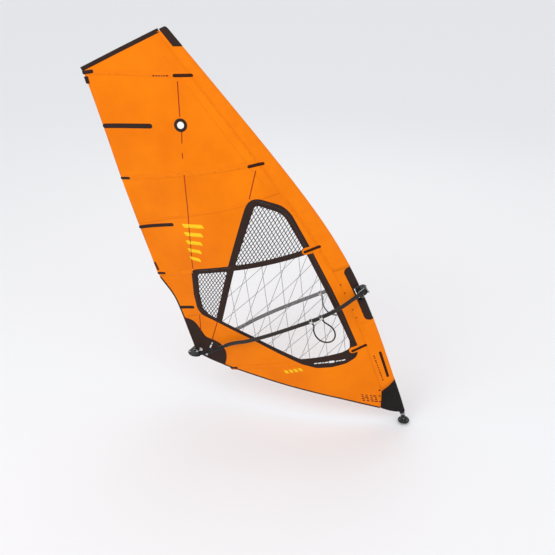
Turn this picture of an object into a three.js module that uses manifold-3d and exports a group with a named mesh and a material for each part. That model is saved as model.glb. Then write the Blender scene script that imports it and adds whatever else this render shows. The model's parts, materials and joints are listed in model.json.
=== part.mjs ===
// Windsurf sail rig: universal joint, mast extension, mast, wishbone boom and film sail.
// Millimetres, +Z up, +X towards the bow. The origin is on the deck, under the lower pin of
// the joint. The rig leans aft by RAKE. Rig pieces are drawn upright: x forward, z up the mast.
import * as THREE from 'three';
import { mergeVertices } from 'three/addons/utils/BufferGeometryUtils.js';
import Module from 'manifold-3d';

const wasm = await Module();
wasm.setup();

// Driving dimensions
const RAKE = 18 * Math.PI / 180;
const GAP = 0.3;
const LOWER_PIN_Z = 30;
const UPPER_PIN_Z = 66;
const PIN_R = 5;
const BASE_R = 50;
const SWIVEL_R = 9.9;
const CUP_R = 23;
const CUP_TOP = 150;
const TUBE_R = 14.5;
const TUBE_TOP = 440;
const COLLAR_TOP = 230;
const MAST_R = 18;
const MAST_WALL = 2.6;
const MAST_JOINT = 2080;
const MAST_TOP = 3915;
const TIP_R = 10;
const CUT_LOW = 1130;
const CUT_HIGH = 1660;
const SLEEVE_TAIL = 118;
const CUT_TAIL = 46;
const HEAD_CAP_LOW = 3775;
const LEECH = 1730;
const FILM = 1.2;
const BOOM_HEIGHT = 1406;
const BOOM_DROP = 10.8 * Math.PI / 180;
const ARM_R = 17;
const LEG_R = 11;
const LEG_Y = 128;
const LEG_START = 1300;
const ARM_END = 1500;
const SHEAVE_Q = 38;
const SHEAVE_Z = 172;
const SHEAVE_R = 12;
const SHEAVE_W = 6.5;
const SHEAVE_PITCH = 8;
const TACK_Z = 290;
const OUTHAUL_X = 1712;
const OUTHAUL_Y = 15;
const ROPE_R = 2;
const LINE_R = 6.5;

// Materials
const paint = (color, roughness, metalness = 0) => ({ color, roughness, metalness });
const ORANGE = paint(0xf57c00, 0.45);
const CLEAR = paint(0xdfe6e8, 0.15);
const TAPE = paint(0x453330, 0.7);
const CARBON = paint(0x1c1b1d, 0.4);
const PLASTIC = paint(0x18181a, 0.55);
const GRIP = paint(0x3a302d, 0.9);
const STEEL = paint(0xb8bcc0, 0.3, 1);
const ALLOY = paint(0x9a9da2, 0.35, 1);
const RUBBER = paint(0x202020, 0.95);
const ROPE = paint(0xd8d8d2, 0.8);
const WHITE = paint(0xf2f2ee, 0.6);

const part = new THREE.Group();
const lean = new THREE.Group();
lean.position.z = LOWER_PIN_Z;
lean.rotation.y = -RAKE;
const rig = new THREE.Group();
rig.position.z = -LOWER_PIN_Z;
lean.add(rig);
part.add(lean);

function place(parent, name, geometry, look) {
  const mesh = new THREE.Mesh(geometry, new THREE.MeshStandardMaterial(look));
  mesh.name = name;
  parent.add(mesh);
  return mesh;
}

// Booleans
function toSolid(geometry) {
  const plain = geometry.clone();
  plain.deleteAttribute('normal');
  plain.deleteAttribute('uv');
  const merged = mergeVertices(plain, 1e-4);
  const vertProperties = new Float32Array(merged.attributes.position.array);
  const triVerts = new Uint32Array(merged.index.array);
  return new wasm.Manifold(new wasm.Mesh({ numProp: 3, vertProperties, triVerts }));
}

function fromSolid(solid) {
  const mesh = solid.getMesh();
  const geometry = new THREE.BufferGeometry();
  geometry.setAttribute('position', new THREE.BufferAttribute(mesh.vertProperties, 3));
  geometry.setIndex(new THREE.BufferAttribute(mesh.triVerts, 1));
  return geometry;
}

function join(...parts) {
  return fromSolid(parts.map(toSolid).reduce((sum, next) => sum.add(next)));
}

function cut(body, ...tools) {
  return fromSolid(tools.map(toSolid).reduce((rest, tool) => rest.subtract(tool), toSolid(body)));
}

// Simple shapes
const box = (dx, dy, dz, x, y, z) => new THREE.BoxGeometry(dx, dy, dz).translate(x, y, z);

function rod(axis, r, from, to, a, b, sides = 12) {
  const rodShape = new THREE.CylinderGeometry(r, r, to - from, sides);
  const middle = (from + to) / 2;
  if (axis === 'x') return rodShape.rotateZ(Math.PI / 2).translate(middle, a, b);
  if (axis === 'y') return rodShape.translate(a, middle, b);
  return rodShape.rotateX(Math.PI / 2).translate(a, b, middle);
}

// A turned piece about z from [radius, height] pairs that start and end on the axis or close.
function turned(profile, sides = 16) {
  const points = profile.map(([r, z]) => new THREE.Vector2(r, z));
  return new THREE.LatheGeometry(points, sides).rotateX(Math.PI / 2);
}

const ring = (inner, outer, low, high, sides) => turned(
  [[inner, low], [outer, low], [outer, high], [inner, high], [inner, low]], sides);

const sheave = (bore, rim, groove, width) => turned([[bore, -width / 2], [rim, -width / 2],
  [groove, 0], [rim, width / 2], [bore, width / 2], [bore, -width / 2]], 16);

function outline(points) {
  return new THREE.Shape(points.map(([x, y]) => new THREE.Vector2(x, y)));
}

const slab = (points, low, high) => new THREE.ExtrudeGeometry(
  outline(points), { depth: high - low, bevelEnabled: false }).translate(0, 0, low);

const curveThrough = (points) => new THREE.CatmullRomCurve3(
  points.map((p) => new THREE.Vector3(...p)), false, 'centripetal');

function tube(points, r, sides, steps) {
  const circle = new THREE.Shape();
  circle.absarc(0, 0, r, 0, 2 * Math.PI);
  const section = new THREE.Shape(circle.getPoints(sides / 2).slice(0, -1));
  return new THREE.ExtrudeGeometry(
    section, { steps, extrudePath: curveThrough(points), bevelEnabled: false });
}

// A closed solid through rings of points. A cyclic one joins its last ring to its first.
function solidOfRings(rings, cyclic) {
  const count = rings[0].length;
  const positions = rings.flat().flatMap((p) => [p.x, p.y, p.z]);
  const faces = [];
  const spans = cyclic ? rings.length : rings.length - 1;
  for (let i = 0; i < spans; i++) {
    const here = i * count;
    const next = ((i + 1) % rings.length) * count;
    const inner = cyclic && i >= Math.ceil(rings.length / 2); // splits as the outer wall does
    for (let j = 0; j < count; j++) {
      const k = (j + 1) % count;
      if (inner) faces.push(here + j, here + k, next + j, here + k, next + k, next + j);
      else faces.push(here + j, here + k, next + k, here + j, next + k, next + j);
    }
  }
  if (!cyclic) {
    const last = (rings.length - 1) * count;
    for (let j = 1; j < count - 1; j++) {
      faces.push(0, j + 1, j, last, last + j, last + j + 1);
    }
  }
  return facingOut(positions, faces);
}

function facingOut(positions, faces) {
  let volume = 0;
  const corner = (i) => new THREE.Vector3().fromArray(positions, 3 * i);
  for (let i = 0; i < faces.length; i += 3) {
    volume += corner(faces[i]).dot(corner(faces[i + 1]).cross(corner(faces[i + 2])));
  }
  const geometry = new THREE.BufferGeometry();
  geometry.setAttribute('position', new THREE.Float32BufferAttribute(positions, 3));
  geometry.setIndex(volume > 0 ? faces : faces.toReversed());
  return geometry;
}

// The mast's bend: how far aft its axis is at a height. It is straight between stations, so
// that the mast, its sleeve and the panels beside it meet along the same lines.
const BEND = 152;
const STATIONS = [0, 450, 650, 880, CUT_LOW, 1340, 1472, CUT_HIGH, 1936, MAST_JOINT, 2262, 2480,
  2735, 3000, 3270, 3547, HEAD_CAP_LOW, 3860, 4000];
const bend = (z) => (z < STATIONS[2] ? 0 : BEND * Math.log1p(Math.exp((z - 1735) / 370)) - 4.6);
function mastAft(z) {
  const i = Math.max(1, STATIONS.findIndex((station) => station > z));
  const [low, high] = [STATIONS[i - 1], STATIONS[i]];
  return bend(low) + (bend(high) - bend(low)) * (z - low) / (high - low);
}
const mastRadius = (z) => (z < MAST_JOINT ? MAST_R
  : MAST_R - (MAST_R - TIP_R) * (z - MAST_JOINT) / (MAST_TOP - MAST_JOINT));

// The sail's curved surface: its y at a distance aft and a height. The draft peaks 40% aft.
const DRAFT = 170;
const TWIST = 100;
function belly(aft, z) {
  const chord = LEECH - mastAft(z);
  const t = Math.min(1, Math.max(0, (aft - mastAft(z)) / chord));
  const fullness = Math.max(0, 1 - ((z - 1800) / 2200) ** 2) ** 1.3;
  const profile = t * (1 - t) ** 1.5 / 0.186;
  return -(DRAFT * fullness * profile + TWIST * (t * (z - 1000) / 2900) ** 2);
}

const lerp = (p, q, t) => [p[0] + (q[0] - p[0]) * t, p[1] + (q[1] - p[1]) * t];
const span = (p, q, count) => Array.from({ length: count }, (_, i) => lerp(p, q, i / (count - 1)));
const atHeight = (p, q, z) => lerp(p, q, (z - p[1]) / (q[1] - p[1]));
const sleeveTail = (z) => SLEEVE_TAIL - 38 * Math.max(0, z - CUT_HIGH) / 2300;
const sleeveEdge = (z) => [mastAft(z) + sleeveTail(z), z];
const cutEdge = (z, tail = CUT_TAIL) => [mastAft(z) + tail, z];

// Moves each corner of a closed outline inwards by a distance.
function inset(corners, distance) {
  let area = 0;
  corners.forEach((p, i) => {
    const q = corners[(i + 1) % corners.length];
    area += p[0] * q[1] - q[0] * p[1];
  });
  const side = Math.sign(area);
  const normal = (p, q) => {
    const length = Math.hypot(q[0] - p[0], q[1] - p[1]);
    return [-side * (q[1] - p[1]) / length, side * (q[0] - p[0]) / length];
  };
  return corners.map((p, i) => {
    const n1 = normal(corners.at(i - 1), p);
    const n2 = normal(p, corners[(i + 1) % corners.length]);
    const scale = distance / Math.max(0.2, 1 + n1[0] * n2[0] + n1[1] * n2[1]);
    return [p[0] + (n1[0] + n2[0]) * scale, p[1] + (n1[1] + n2[1]) * scale];
  });
}

// A thin closed panel on the sail's surface. Its rows run from luff to leech, or across a
// strip, and each has the same number of [aft, height] points.
function panel(rows, across = 1, near = -FILM / 2, far = FILM / 2) {
  const last = rows.length - 1;
  const width = rows[0].length;
  const border = [...rows[0]];
  for (let i = 1; i < last; i++) border.push(rows[i][width - 1]);
  border.push(...rows[last].toReversed());
  for (let i = last - 1; i > 0; i--) border.push(rows[i][0]);
  const moved = inset(border, GAP);
  const grid = rows.map((row) => row.map((p) => p));
  let k = 0;
  for (let j = 0; j < width; j++) grid[0][j] = moved[k++];
  for (let i = 1; i < last; i++) grid[i][width - 1] = moved[k++];
  for (let j = width - 1; j >= 0; j--) grid[last][j] = moved[k++];
  for (let i = last - 1; i > 0; i--) grid[i][0] = moved[k++];
  const fine = grid.map((row) => row.flatMap((p, j) => (
    j === width - 1 ? [p] : span(p, row[j + 1], across + 1).slice(0, -1))));
  const count = fine[0].length;
  const positions = [];
  for (const offset of [near, far]) {
    for (const [aft, z] of fine.flat()) positions.push(-aft, belly(aft, z) + offset, z);
  }
  const back = fine.length * count;
  const faces = [];
  const quad = (a, b, c, d) => faces.push(a, b, c, a, c, d);
  for (let i = 0; i < last; i++) {
    for (let j = 0; j < count - 1; j++) {
      const a = i * count + j;
      quad(a, a + 1, a + count + 1, a + count);
      quad(back + a, back + a + count, back + a + count + 1, back + a + 1);
    }
  }
  const rim = [];
  for (let j = 0; j < count; j++) rim.push(j);
  for (let i = 1; i <= last; i++) rim.push(i * count + count - 1);
  for (let j = count - 2; j >= 0; j--) rim.push(last * count + j);
  for (let i = last - 1; i > 0; i--) rim.push(i * count);
  rim.forEach((a, i) => {
    const b = rim[(i + 1) % rim.length];
    quad(b, a, back + a, back + b);
  });
  return facingOut(positions, faces);
}

// The joint's foot on the deck: a rubber pad, a plastic disc with two ears, bolt and pin.
const EAR_IN = 13;
const EAR_OUT = 20;
const DISC_TOP = 16;
function earPair(axis, inner, outer, r, z, down) {
  return [-1, 1].flatMap((side) => {
    const [from, to] = side < 0 ? [-outer, -inner] : [inner, outer];
    const middle = side * (inner + outer) / 2;
    const thick = outer - inner;
    const web = axis === 'y' ? box(2 * r, thick, Math.abs(down - z), 0, middle, (down + z) / 2)
      : box(thick, 2 * r, Math.abs(down - z), middle, 0, (down + z) / 2);
    const round = axis === 'y' ? rod('y', r, from, to, 0, z) : rod('x', r, from, to, 0, z);
    return [web, round];
  });
}

function deckBase() {
  place(part, 'base_pad', ring(12, BASE_R + 2, 0, 5, 32), RUBBER);
  const disc = turned([[0, 5 + GAP], [BASE_R, 5 + GAP], [BASE_R, 11], [44, DISC_TOP],
    [0, DISC_TOP]], 32);
  const ears = earPair('y', EAR_IN, EAR_OUT, 14, LOWER_PIN_Z, DISC_TOP - 2);
  const holes = [rod('y', PIN_R + GAP, -30, 30, 0, LOWER_PIN_Z), rod('z', 8, 0, 14, 0, 0),
    rod('z', 4 + GAP, 0, 20, 0, 0)];
  place(part, 'base_disc', cut(join(disc, ...ears), ...holes), PLASTIC);
  const bolt = turned([[0, -16], [4, -16], [4, 6], [7.5, 6], [7.5, 13], [0, 13]], 16);
  place(part, 'deck_bolt', bolt, STEEL);
  place(part, 'lower_pivot_pin', pin(23, 20.4, 8).rotateX(Math.PI / 2)
    .translate(0, 0, LOWER_PIN_Z), STEEL);
}

// A headed pin about z, centred.
function pin(half, shoulder, headR) {
  return turned([[0, -half], [headR, -half], [headR, -shoulder], [PIN_R, -shoulder],
    [PIN_R, shoulder], [headR, shoulder], [headR, half], [0, half]]);
}

function universalJoint() {
  const link = join(rod('y', 11.5, -12.5, 12.5, 0, LOWER_PIN_Z),
    rod('x', 11.5, -12.5, 12.5, 0, UPPER_PIN_Z), box(19, 19, 36, 0, 0, 48));
  const bores = [rod('y', PIN_R + GAP, -20, 20, 0, LOWER_PIN_Z),
    rod('x', PIN_R + GAP, -20, 20, 0, UPPER_PIN_Z)];
  place(rig, 'pivot_link', cut(link, ...bores), PLASTIC);
  place(rig, 'upper_pivot_pin', pin(21.5, 19.9, 7).rotateY(Math.PI / 2)
    .translate(0, 0, UPPER_PIN_Z), STEEL);
  const fork = earPair('x', EAR_IN, 19.5, 12, UPPER_PIN_Z, 82);
  const stem = turned([[0, 80], [21, 80], [21, 88], [SWIVEL_R, 88], [SWIVEL_R, 106], [8, 108],
    [8, 114], [SWIVEL_R, 116], [SWIVEL_R, 124], [6, 128], [0, 128]]);
  place(rig, 'swivel_pin', cut(join(stem, ...fork), rod('x', PIN_R + GAP, -30, 30, 0, UPPER_PIN_Z)),
    STEEL);
}

// The extension: a cup that turns on the swivel pin, its sheaves, button and tube.
const BUTTON_Z = 102;
function mastExtension() {
  const cup = turned([[0, 132], [SWIVEL_R + GAP + 0.1, 132], [SWIVEL_R + GAP + 0.1, 90],
    [CUP_R, 90], [CUP_R, 144], [20, CUP_TOP], [0, CUP_TOP]]);
  const cheekY = 1.5 * SHEAVE_PITCH + 1.8;
  const cheeks = [-1, 1].map((side) => slab(
    [[-8, 122], [-40, 122], [-52, 140], [-52, 180], [-40, 188], [-20, 186], [-20, CUP_TOP - 1],
      [-8, CUP_TOP - 1]], -1.5, 1.5).rotateX(Math.PI / 2).translate(0, side * cheekY, 0));
  const floor = box(36, 2 * cheekY, 10, -26, 0, 127);
  const axle = rod('y', 4, -cheekY, cheekY, -SHEAVE_Q, SHEAVE_Z);
  const swivelRoom = rod('z', SWIVEL_R + GAP + 0.1, 80, 132, 0, 0, 16);
  const buttonRoom = rod('x', 5.4, 16, 40, 0, BUTTON_Z);
  place(rig, 'extension_cup', cut(join(cup, ...cheeks, floor, axle), swivelRoom, buttonRoom), PLASTIC);
  place(rig, 'release_button', rod('x', 5, 19.5, 27, 0, BUTTON_Z), STEEL);
  for (const i of [1, 2, 3]) {
    const wheel = sheave(4.3, SHEAVE_R, SHEAVE_R - 3.5, SHEAVE_W).rotateX(Math.PI / 2)
      .translate(-SHEAVE_Q, (i - 2) * SHEAVE_PITCH, SHEAVE_Z);
    place(rig, `base_sheave_${i}`, wheel, PLASTIC);
  }
  const tubeProfile = [[10.5, CUP_TOP + GAP], [TUBE_R, CUP_TOP + GAP], [TUBE_R, 208], [20, 212],
    [20, COLLAR_TOP], [TUBE_R, COLLAR_TOP], [TUBE_R, TUBE_TOP], [10.5, TUBE_TOP], [10.5, CUP_TOP + GAP]];
  place(rig, 'extension_tube', turned(tubeProfile), ALLOY);
}

// The downhaul's upper pulley, tied to the tack, and the rope between it and the sheaves.
function downhaul() {
  const cheeks = [-1, 1].map((side) => box(30, 2, 40, -SHEAVE_Q, side * 13, TACK_Z + 2));
  const roller = rod('y', 9, -13, 13, -SHEAVE_Q, TACK_Z);
  const bridge = box(30, 28, 4, -SHEAVE_Q, 0, TACK_Z + 20);
  place(rig, 'tack_block', join(...cheeks, roller, bridge), STEEL);
  const reach = 10 + ROPE_R + 1.3;
  const high = 9 + ROPE_R + 2.4;
  const route = [[-SHEAVE_Q - reach, -1.1 * SHEAVE_PITCH, TACK_Z - 30]];
  for (const i of [-1, 0, 1]) {
    const y = i * SHEAVE_PITCH;
    route.push([-SHEAVE_Q - reach, y, SHEAVE_Z + 14], [-SHEAVE_Q - reach, y, SHEAVE_Z]);
    for (const turn of [1, 2, 3]) {
      const angle = turn * Math.PI / 4;
      route.push([-SHEAVE_Q - reach * Math.cos(angle), y, SHEAVE_Z - reach * Math.sin(angle)]);
    }
    route.push([-SHEAVE_Q + reach, y, SHEAVE_Z], [-SHEAVE_Q + reach, y, SHEAVE_Z + 14]);
    if (i === 1) break;
    route.push([-SHEAVE_Q + high, y + 1, TACK_Z - 14], [-SHEAVE_Q + high, y + 2, TACK_Z]);
    for (const turn of [1, 2, 3]) {
      const angle = turn * Math.PI / 4;
      route.push([-SHEAVE_Q + high * Math.cos(angle), y + 2 + turn,
        TACK_Z + high * Math.sin(angle)]);
    }
    route.push([-SHEAVE_Q - high, y + 6, TACK_Z], [-SHEAVE_Q - high, y + 7, TACK_Z - 14]);
  }
  route.push([-SHEAVE_Q + reach, SHEAVE_PITCH, SHEAVE_Z + 60]);
  place(rig, 'downhaul_rope', tube(route, ROPE_R, 6, 66), ROPE);
}

// The mast in two sections, hollow, bending aft towards the tip.
const MAST_SIDES = 14;
function mastTube(low, high) {
  const heights = [low, ...STATIONS.filter((z) => z > low && z < high), high];
  const ringAt = (z, r) => Array.from({ length: MAST_SIDES }, (_, i) => {
    const angle = 2 * Math.PI * i / MAST_SIDES;
    return new THREE.Vector3(r * Math.cos(angle) - mastAft(z), r * Math.sin(angle), z);
  });
  const outer = heights.map((z) => ringAt(z, mastRadius(z)));
  const inner = heights.map((z) => ringAt(z, mastRadius(z) - MAST_WALL)).toReversed();
  return solidOfRings([...outer, ...inner], true);
}

// A skin about the mast: a round nose and two sides that close at the tail. Each station
// has a height, a slope of that height going aft, the nose radius and the tail's distance.
const NOSE_STEPS = 7;
const SKIN = 1.2;
function skinRing({ z, slope = 0, nose, tail, full = 0.86, depth = 0.62 }, shrink) {
  const r = nose - shrink;
  const points = [];
  const put = (q, offset) => {
    const height = z + slope * q;
    points.push(new THREE.Vector3(-(mastAft(height) + q), offset, height));
  };
  const middle = (q) => belly(mastAft(z) + q, z);
  const sides = [[0.42, full], [0.68, depth], [0.86, 0.3]];
  const end = tail - GAP - 4 * shrink;
  put(end, middle(end) + 0.5);
  for (const [share, thick] of sides.toReversed()) put(share * end, middle(share * end) + thick * r);
  for (let i = 0; i < NOSE_STEPS; i++) {
    const angle = Math.PI * (0.42 + 1.16 * i / (NOSE_STEPS - 1));
    put(r * Math.cos(angle), r * Math.sin(angle));
  }
  for (const [share, thick] of sides) put(share * end, middle(share * end) - thick * r);
  put(end, middle(end) - 0.5);
  return points;
}

function skin(stations) {
  const outer = stations.map((station) => skinRing(station, 0));
  const inner = stations.map((station) => skinRing(station, SKIN)).toReversed();
  return solidOfRings([...outer, ...inner], true);
}

const sleeveStation = (z) => ({ z, nose: mastRadius(z) + 3.4, tail: sleeveTail(z) });
const FAIRING_TOP = { z: 449, slope: -0.65, nose: 22, tail: 117 };
function luffPieces() {
  const foot = { z: 122, slope: 0.41, nose: 27.5, tail: 180, full: 1.1, depth: 0.8 };
  const waist = { z: 285, slope: -0.1, nose: 27, tail: 148, full: 1.25, depth: 0.9 };
  place(rig, 'tack_fairing', skin([foot, waist, FAIRING_TOP]), PLASTIC);
  const lowStart = { ...FAIRING_TOP, z: FAIRING_TOP.z + 1, nose: 21.4 };
  const low = [650, 880, CUT_LOW].map(sleeveStation);
  place(rig, 'sleeve_lower', skin([lowStart, ...low]), ORANGE);
  const high = STATIONS.filter((z) => z >= CUT_HIGH && z <= HEAD_CAP_LOW);
  place(rig, 'sleeve_upper', skin(high.map(sleeveStation)), ORANGE);
  const cap = [HEAD_CAP_LOW + 1, 3860, 3925].map(sleeveStation);
  const crown = skinRing({ z: 3944, slope: -0.12, nose: 6, tail: 84, depth: 0.5 }, 0);
  place(rig, 'head_cap', solidOfRings([...cap.map((s) => skinRing(s, 0)), crown,
    ...cap.map((s) => skinRing(s, SKIN)).toReversed()], true), TAPE);
}

// Seams of the sail as [distance aft, height] corners.
const LEECH_2480 = [1750, 2480];
const B1_AFT = [1651, 3796];
const B2_AFT = [1726, 2876];
const B3_AFT = [1773, 1936];
const FOOT_AFT = [1483, 900];
const A_OUT_C = [1048, 1936];
const A_OUT_LOW = [1078, 1888];
const A_OUT_END = [1371, 1419];
const A_IN_C = [978, 1936];
const A_IN_LOW = [1008, 1888];
const A_IN_END = [1323, 1384];
const APEX_LUFF = [600, 2480];
const APEX_LEECH = [690, 2480];
const B_OUT = [[318, 1936], [386, 2262], [436, 2350], APEX_LUFF];
const B_IN = [[370, 1936], [438, 2246], [476, 2306], [630, 2421]];
const F_OUT = [[310, 1888], [250, 1525], [219, 1278], [192, 930]];
const F_IN = [[360, 1888], [304, 1525], [273, 1278], [244, 985]];
const G_OUT = [[216, 806], [336, 762], [470, 757], [600, 777], [719, 843]];
const G_IN = [[260, 905], [340, 888], [450, 887], [566, 891], [716, 902]];
const E_OUT = [[1100, 1174], [1345, 1353], [1393, 1388], [1500, 1466]];
const E_IN = [[1076, 1204], A_IN_END, A_OUT_END, [1436, 1466]];
const D_OUT = [[1522, 1530], [1494, 1686], [1430, 1888]];
const D_IN = [[1474, 1530], [1446, 1686], [1382, 1888]];
const CLEW_EDGE = [[1703, 1450], [1624, 1401], [1587, 1316], [1561, 1226], [1478, 1173],
  [1433, 1130], [1416, 1054], [1436, 979], FOOT_AFT];

// The dark frame round the windows, in two strips, and the three windows in it.
function windowFrames() {
  const upperOut = [A_IN_LOW, F_IN[0], F_OUT[0], ...B_OUT, APEX_LEECH, A_OUT_C, A_OUT_LOW, A_OUT_END];
  const upperIn = [A_IN_C, B_IN[0], lerp(B_IN[0], B_IN[1], 0.01), lerp(B_IN[0], B_IN[1], 0.02),
    ...B_IN.slice(1), [638, 2421], A_IN_C, A_IN_LOW, A_IN_END];
  place(rig, 'window_frame_upper', panel(bands(upperOut, upperIn, 160)), TAPE);
  const lowerOut = [...F_OUT, ...G_OUT, ...E_OUT, ...D_OUT, [1414, 1936], A_OUT_C];
  const lowerIn = [...F_IN, ...G_IN, ...E_IN, ...D_IN, lerp(D_IN[2], A_OUT_LOW, 0.01), A_OUT_LOW];
  place(rig, 'window_frame_lower', panel(bands(lowerOut, lowerIn, 160)), TAPE);
}

// Pairs the two edges of a strip as rows, with extra rows where a stretch is long.
function bands(outer, inner, longest) {
  const rows = [];
  outer.forEach((p, i) => {
    rows.push([p, inner[i]]);
    if (i === outer.length - 1) return;
    const length = Math.hypot(outer[i + 1][0] - p[0], outer[i + 1][1] - p[1]);
    const extra = Math.floor(length / longest);
    for (let k = 1; k <= extra; k++) {
      const t = k / (extra + 1);
      rows.push([lerp(p, outer[i + 1], t), lerp(inner[i], inner[i + 1], t)]);
    }
  });
  return rows;
}

function windows() {
  const aSide = (t) => lerp([638, 2421], A_IN_C, t);
  const meshRows = [[B_IN[0], A_IN_C], [lerp(B_IN[0], B_IN[1], 0.5), aSide(0.7)],
    [B_IN[1], aSide(0.4)], [B_IN[2], aSide(0.25)], [B_IN[3], [638, 2421]]];
  place(rig, 'window_mesh_upper', panel(meshRows, 5), CLEAR);
  const gAcross = (p, q) => [p, lerp(p, q, 0.25), lerp(p, q, 0.55), q];
  const clearRows = [[F_IN[0], A_IN_LOW], [lerp(F_IN[0], F_IN[1], 0.5), lerp(A_IN_LOW, A_IN_END, 0.35)],
    [F_IN[1], lerp(A_IN_LOW, A_IN_END, 0.7)], [F_IN[2], A_IN_END], [F_IN[3], E_IN[0]]]
    .map(([p, q]) => gAcross(p, q));
  const toG = lerp(E_IN[0], G_IN[4], 0.5);
  clearRows.push([G_IN[0], [400, 925], [560, 960], toG]);
  clearRows.push([G_IN[1], G_IN[2], G_IN[3], G_IN[4]]);
  place(rig, 'window_clear', panel(clearRows, 3), CLEAR);
  const leftRows = [[A_OUT_LOW, D_IN[2]], [lerp(A_OUT_LOW, A_OUT_END, 0.45), D_IN[1]],
    [lerp(A_OUT_LOW, A_OUT_END, 0.8), D_IN[0]], [A_OUT_END, E_IN[3]]];
  place(rig, 'window_mesh_aft', panel(leftRows, 3), CLEAR);
}

// The orange panels between sleeve, battens, window frame, leech and foot.
function bodyPanels() {
  const headBand = span([992, 3942], [1656, 3841], 3);
  const headLow = span(sleeveEdge(3547), B1_AFT, 3);
  const headMiddle = span(sleeveEdge(HEAD_CAP_LOW), [1653, 3815], 3);
  place(rig, 'panel_head', panel([headBand, headMiddle, headLow], 3), ORANGE);
  const upper = [[sleeveEdge(3547), B1_AFT], [sleeveEdge(3270), [1684, 3322]],
    [sleeveEdge(3000), [1709, 3060]], [sleeveEdge(2735), B2_AFT]];
  place(rig, 'panel_upper', panel(upper, 8), ORANGE);
  const middle = [ladder(sleeveEdge(2735), B2_AFT), ladder(sleeveEdge(2600), [1740, 2660]),
    [sleeveEdge(2480), APEX_LUFF, ...span(APEX_LEECH, LEECH_2480, 4)]];
  place(rig, 'panel_middle', panel(middle, 2), ORANGE);
  const aft = [[APEX_LEECH, LEECH_2480], [lerp(APEX_LEECH, A_OUT_C, 0.35), [1758, 2290]],
    [lerp(APEX_LEECH, A_OUT_C, 0.7), [1765, 2110]], [A_OUT_C, B3_AFT]];
  const corner = [1414, 1936];
  const withCorner = aft.map(([p, q]) => [p, lerp(p, q, 0.505), q]);
  withCorner[3][1] = corner;
  place(rig, 'panel_aft', panel(withCorner, 4), ORANGE);
  const onB = (i, t) => lerp(B_OUT[i], B_OUT[i + 1], t);
  const onF = (z) => atHeight(F_OUT[0], F_OUT[1], z);
  const luff = [[sleeveEdge(2480), APEX_LUFF], [sleeveEdge(2350), B_OUT[2]],
    [sleeveEdge(2262), B_OUT[1]], [sleeveEdge(2100), onB(0, 0.5)], [sleeveEdge(1936), B_OUT[0]],
    [sleeveEdge(1888), F_OUT[0]], [sleeveEdge(CUT_HIGH), onF(CUT_HIGH)],
    [cutEdge(1635), onF(1635)], [cutEdge(1525), F_OUT[1]],
    [cutEdge(1400), lerp(F_OUT[1], F_OUT[2], 0.5)], [cutEdge(1278), F_OUT[2]],
    [cutEdge(1155), atHeight(F_OUT[2], F_OUT[3], 1155)],
    [sleeveEdge(CUT_LOW), atHeight(F_OUT[2], F_OUT[3], CUT_LOW)], [sleeveEdge(930), F_OUT[3]],
    [sleeveEdge(880), lerp(F_OUT[3], G_OUT[0], 0.4)]];
  place(rig, 'panel_luff', panel(luff, 2), ORANGE);
  const leech = [[corner, B3_AFT], [D_OUT[2], [1762, 1888]], [D_OUT[1], [1708, 1686]],
    [D_OUT[0], [1702, 1530]], [E_OUT[3], CLEW_EDGE[0]]];
  place(rig, 'panel_leech', panel(leech, 2), ORANGE);
}

// A row with points in line with the window's apex, so that rows have equal counts.
function ladder(p, q) {
  return [p, lerp(p, q, 0.12), ...span(lerp(p, q, 0.19), q, 4)];
}

function footPanels() {
  const E_FOOT = G_OUT[4];
  const upper = [[E_OUT[3], CLEW_EDGE[0]], [E_OUT[2], CLEW_EDGE[1]], [E_OUT[1], CLEW_EDGE[2]],
    [lerp(E_OUT[1], E_OUT[0], 0.5), CLEW_EDGE[3]], [lerp(E_OUT[1], E_OUT[0], 0.8), CLEW_EDGE[4]],
    [E_OUT[0], CLEW_EDGE[5]], [lerp(E_OUT[0], E_FOOT, 0.4), CLEW_EDGE[6]],
    [lerp(E_OUT[0], E_FOOT, 0.8), CLEW_EDGE[7]], [E_FOOT, lerp(CLEW_EDGE[7], FOOT_AFT, 0.96)]];
  place(rig, 'panel_foot_upper', panel(upper, 4), ORANGE);
  const start = lerp(F_OUT[3], G_OUT[0], 0.4);
  const batten = lerp(CLEW_EDGE[7], FOOT_AFT, 0.96);
  const top = [sleeveEdge(880), start, ...G_OUT, lerp(E_FOOT, batten, 0.5), batten];
  const hem = [[180, 197], [230, 228], [340, 295], [493, 387], [630, 462], [787, 547], [930, 621],
    [1188, 755], [1478, 896]];
  const rows = [top];
  for (const [t, edge] of [[0.35, sleeveEdge(650)], [0.7, [118, 374]]]) {
    const row = top.map((p, i) => lerp(p, hem[i], t));
    row[0] = edge;
    row[1] = lerp(edge, row[2], 0.4);
    rows.push(row);
  }
  rows.push(hem);
  place(rig, 'panel_foot_lower', panel(rows), ORANGE);
}

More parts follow.
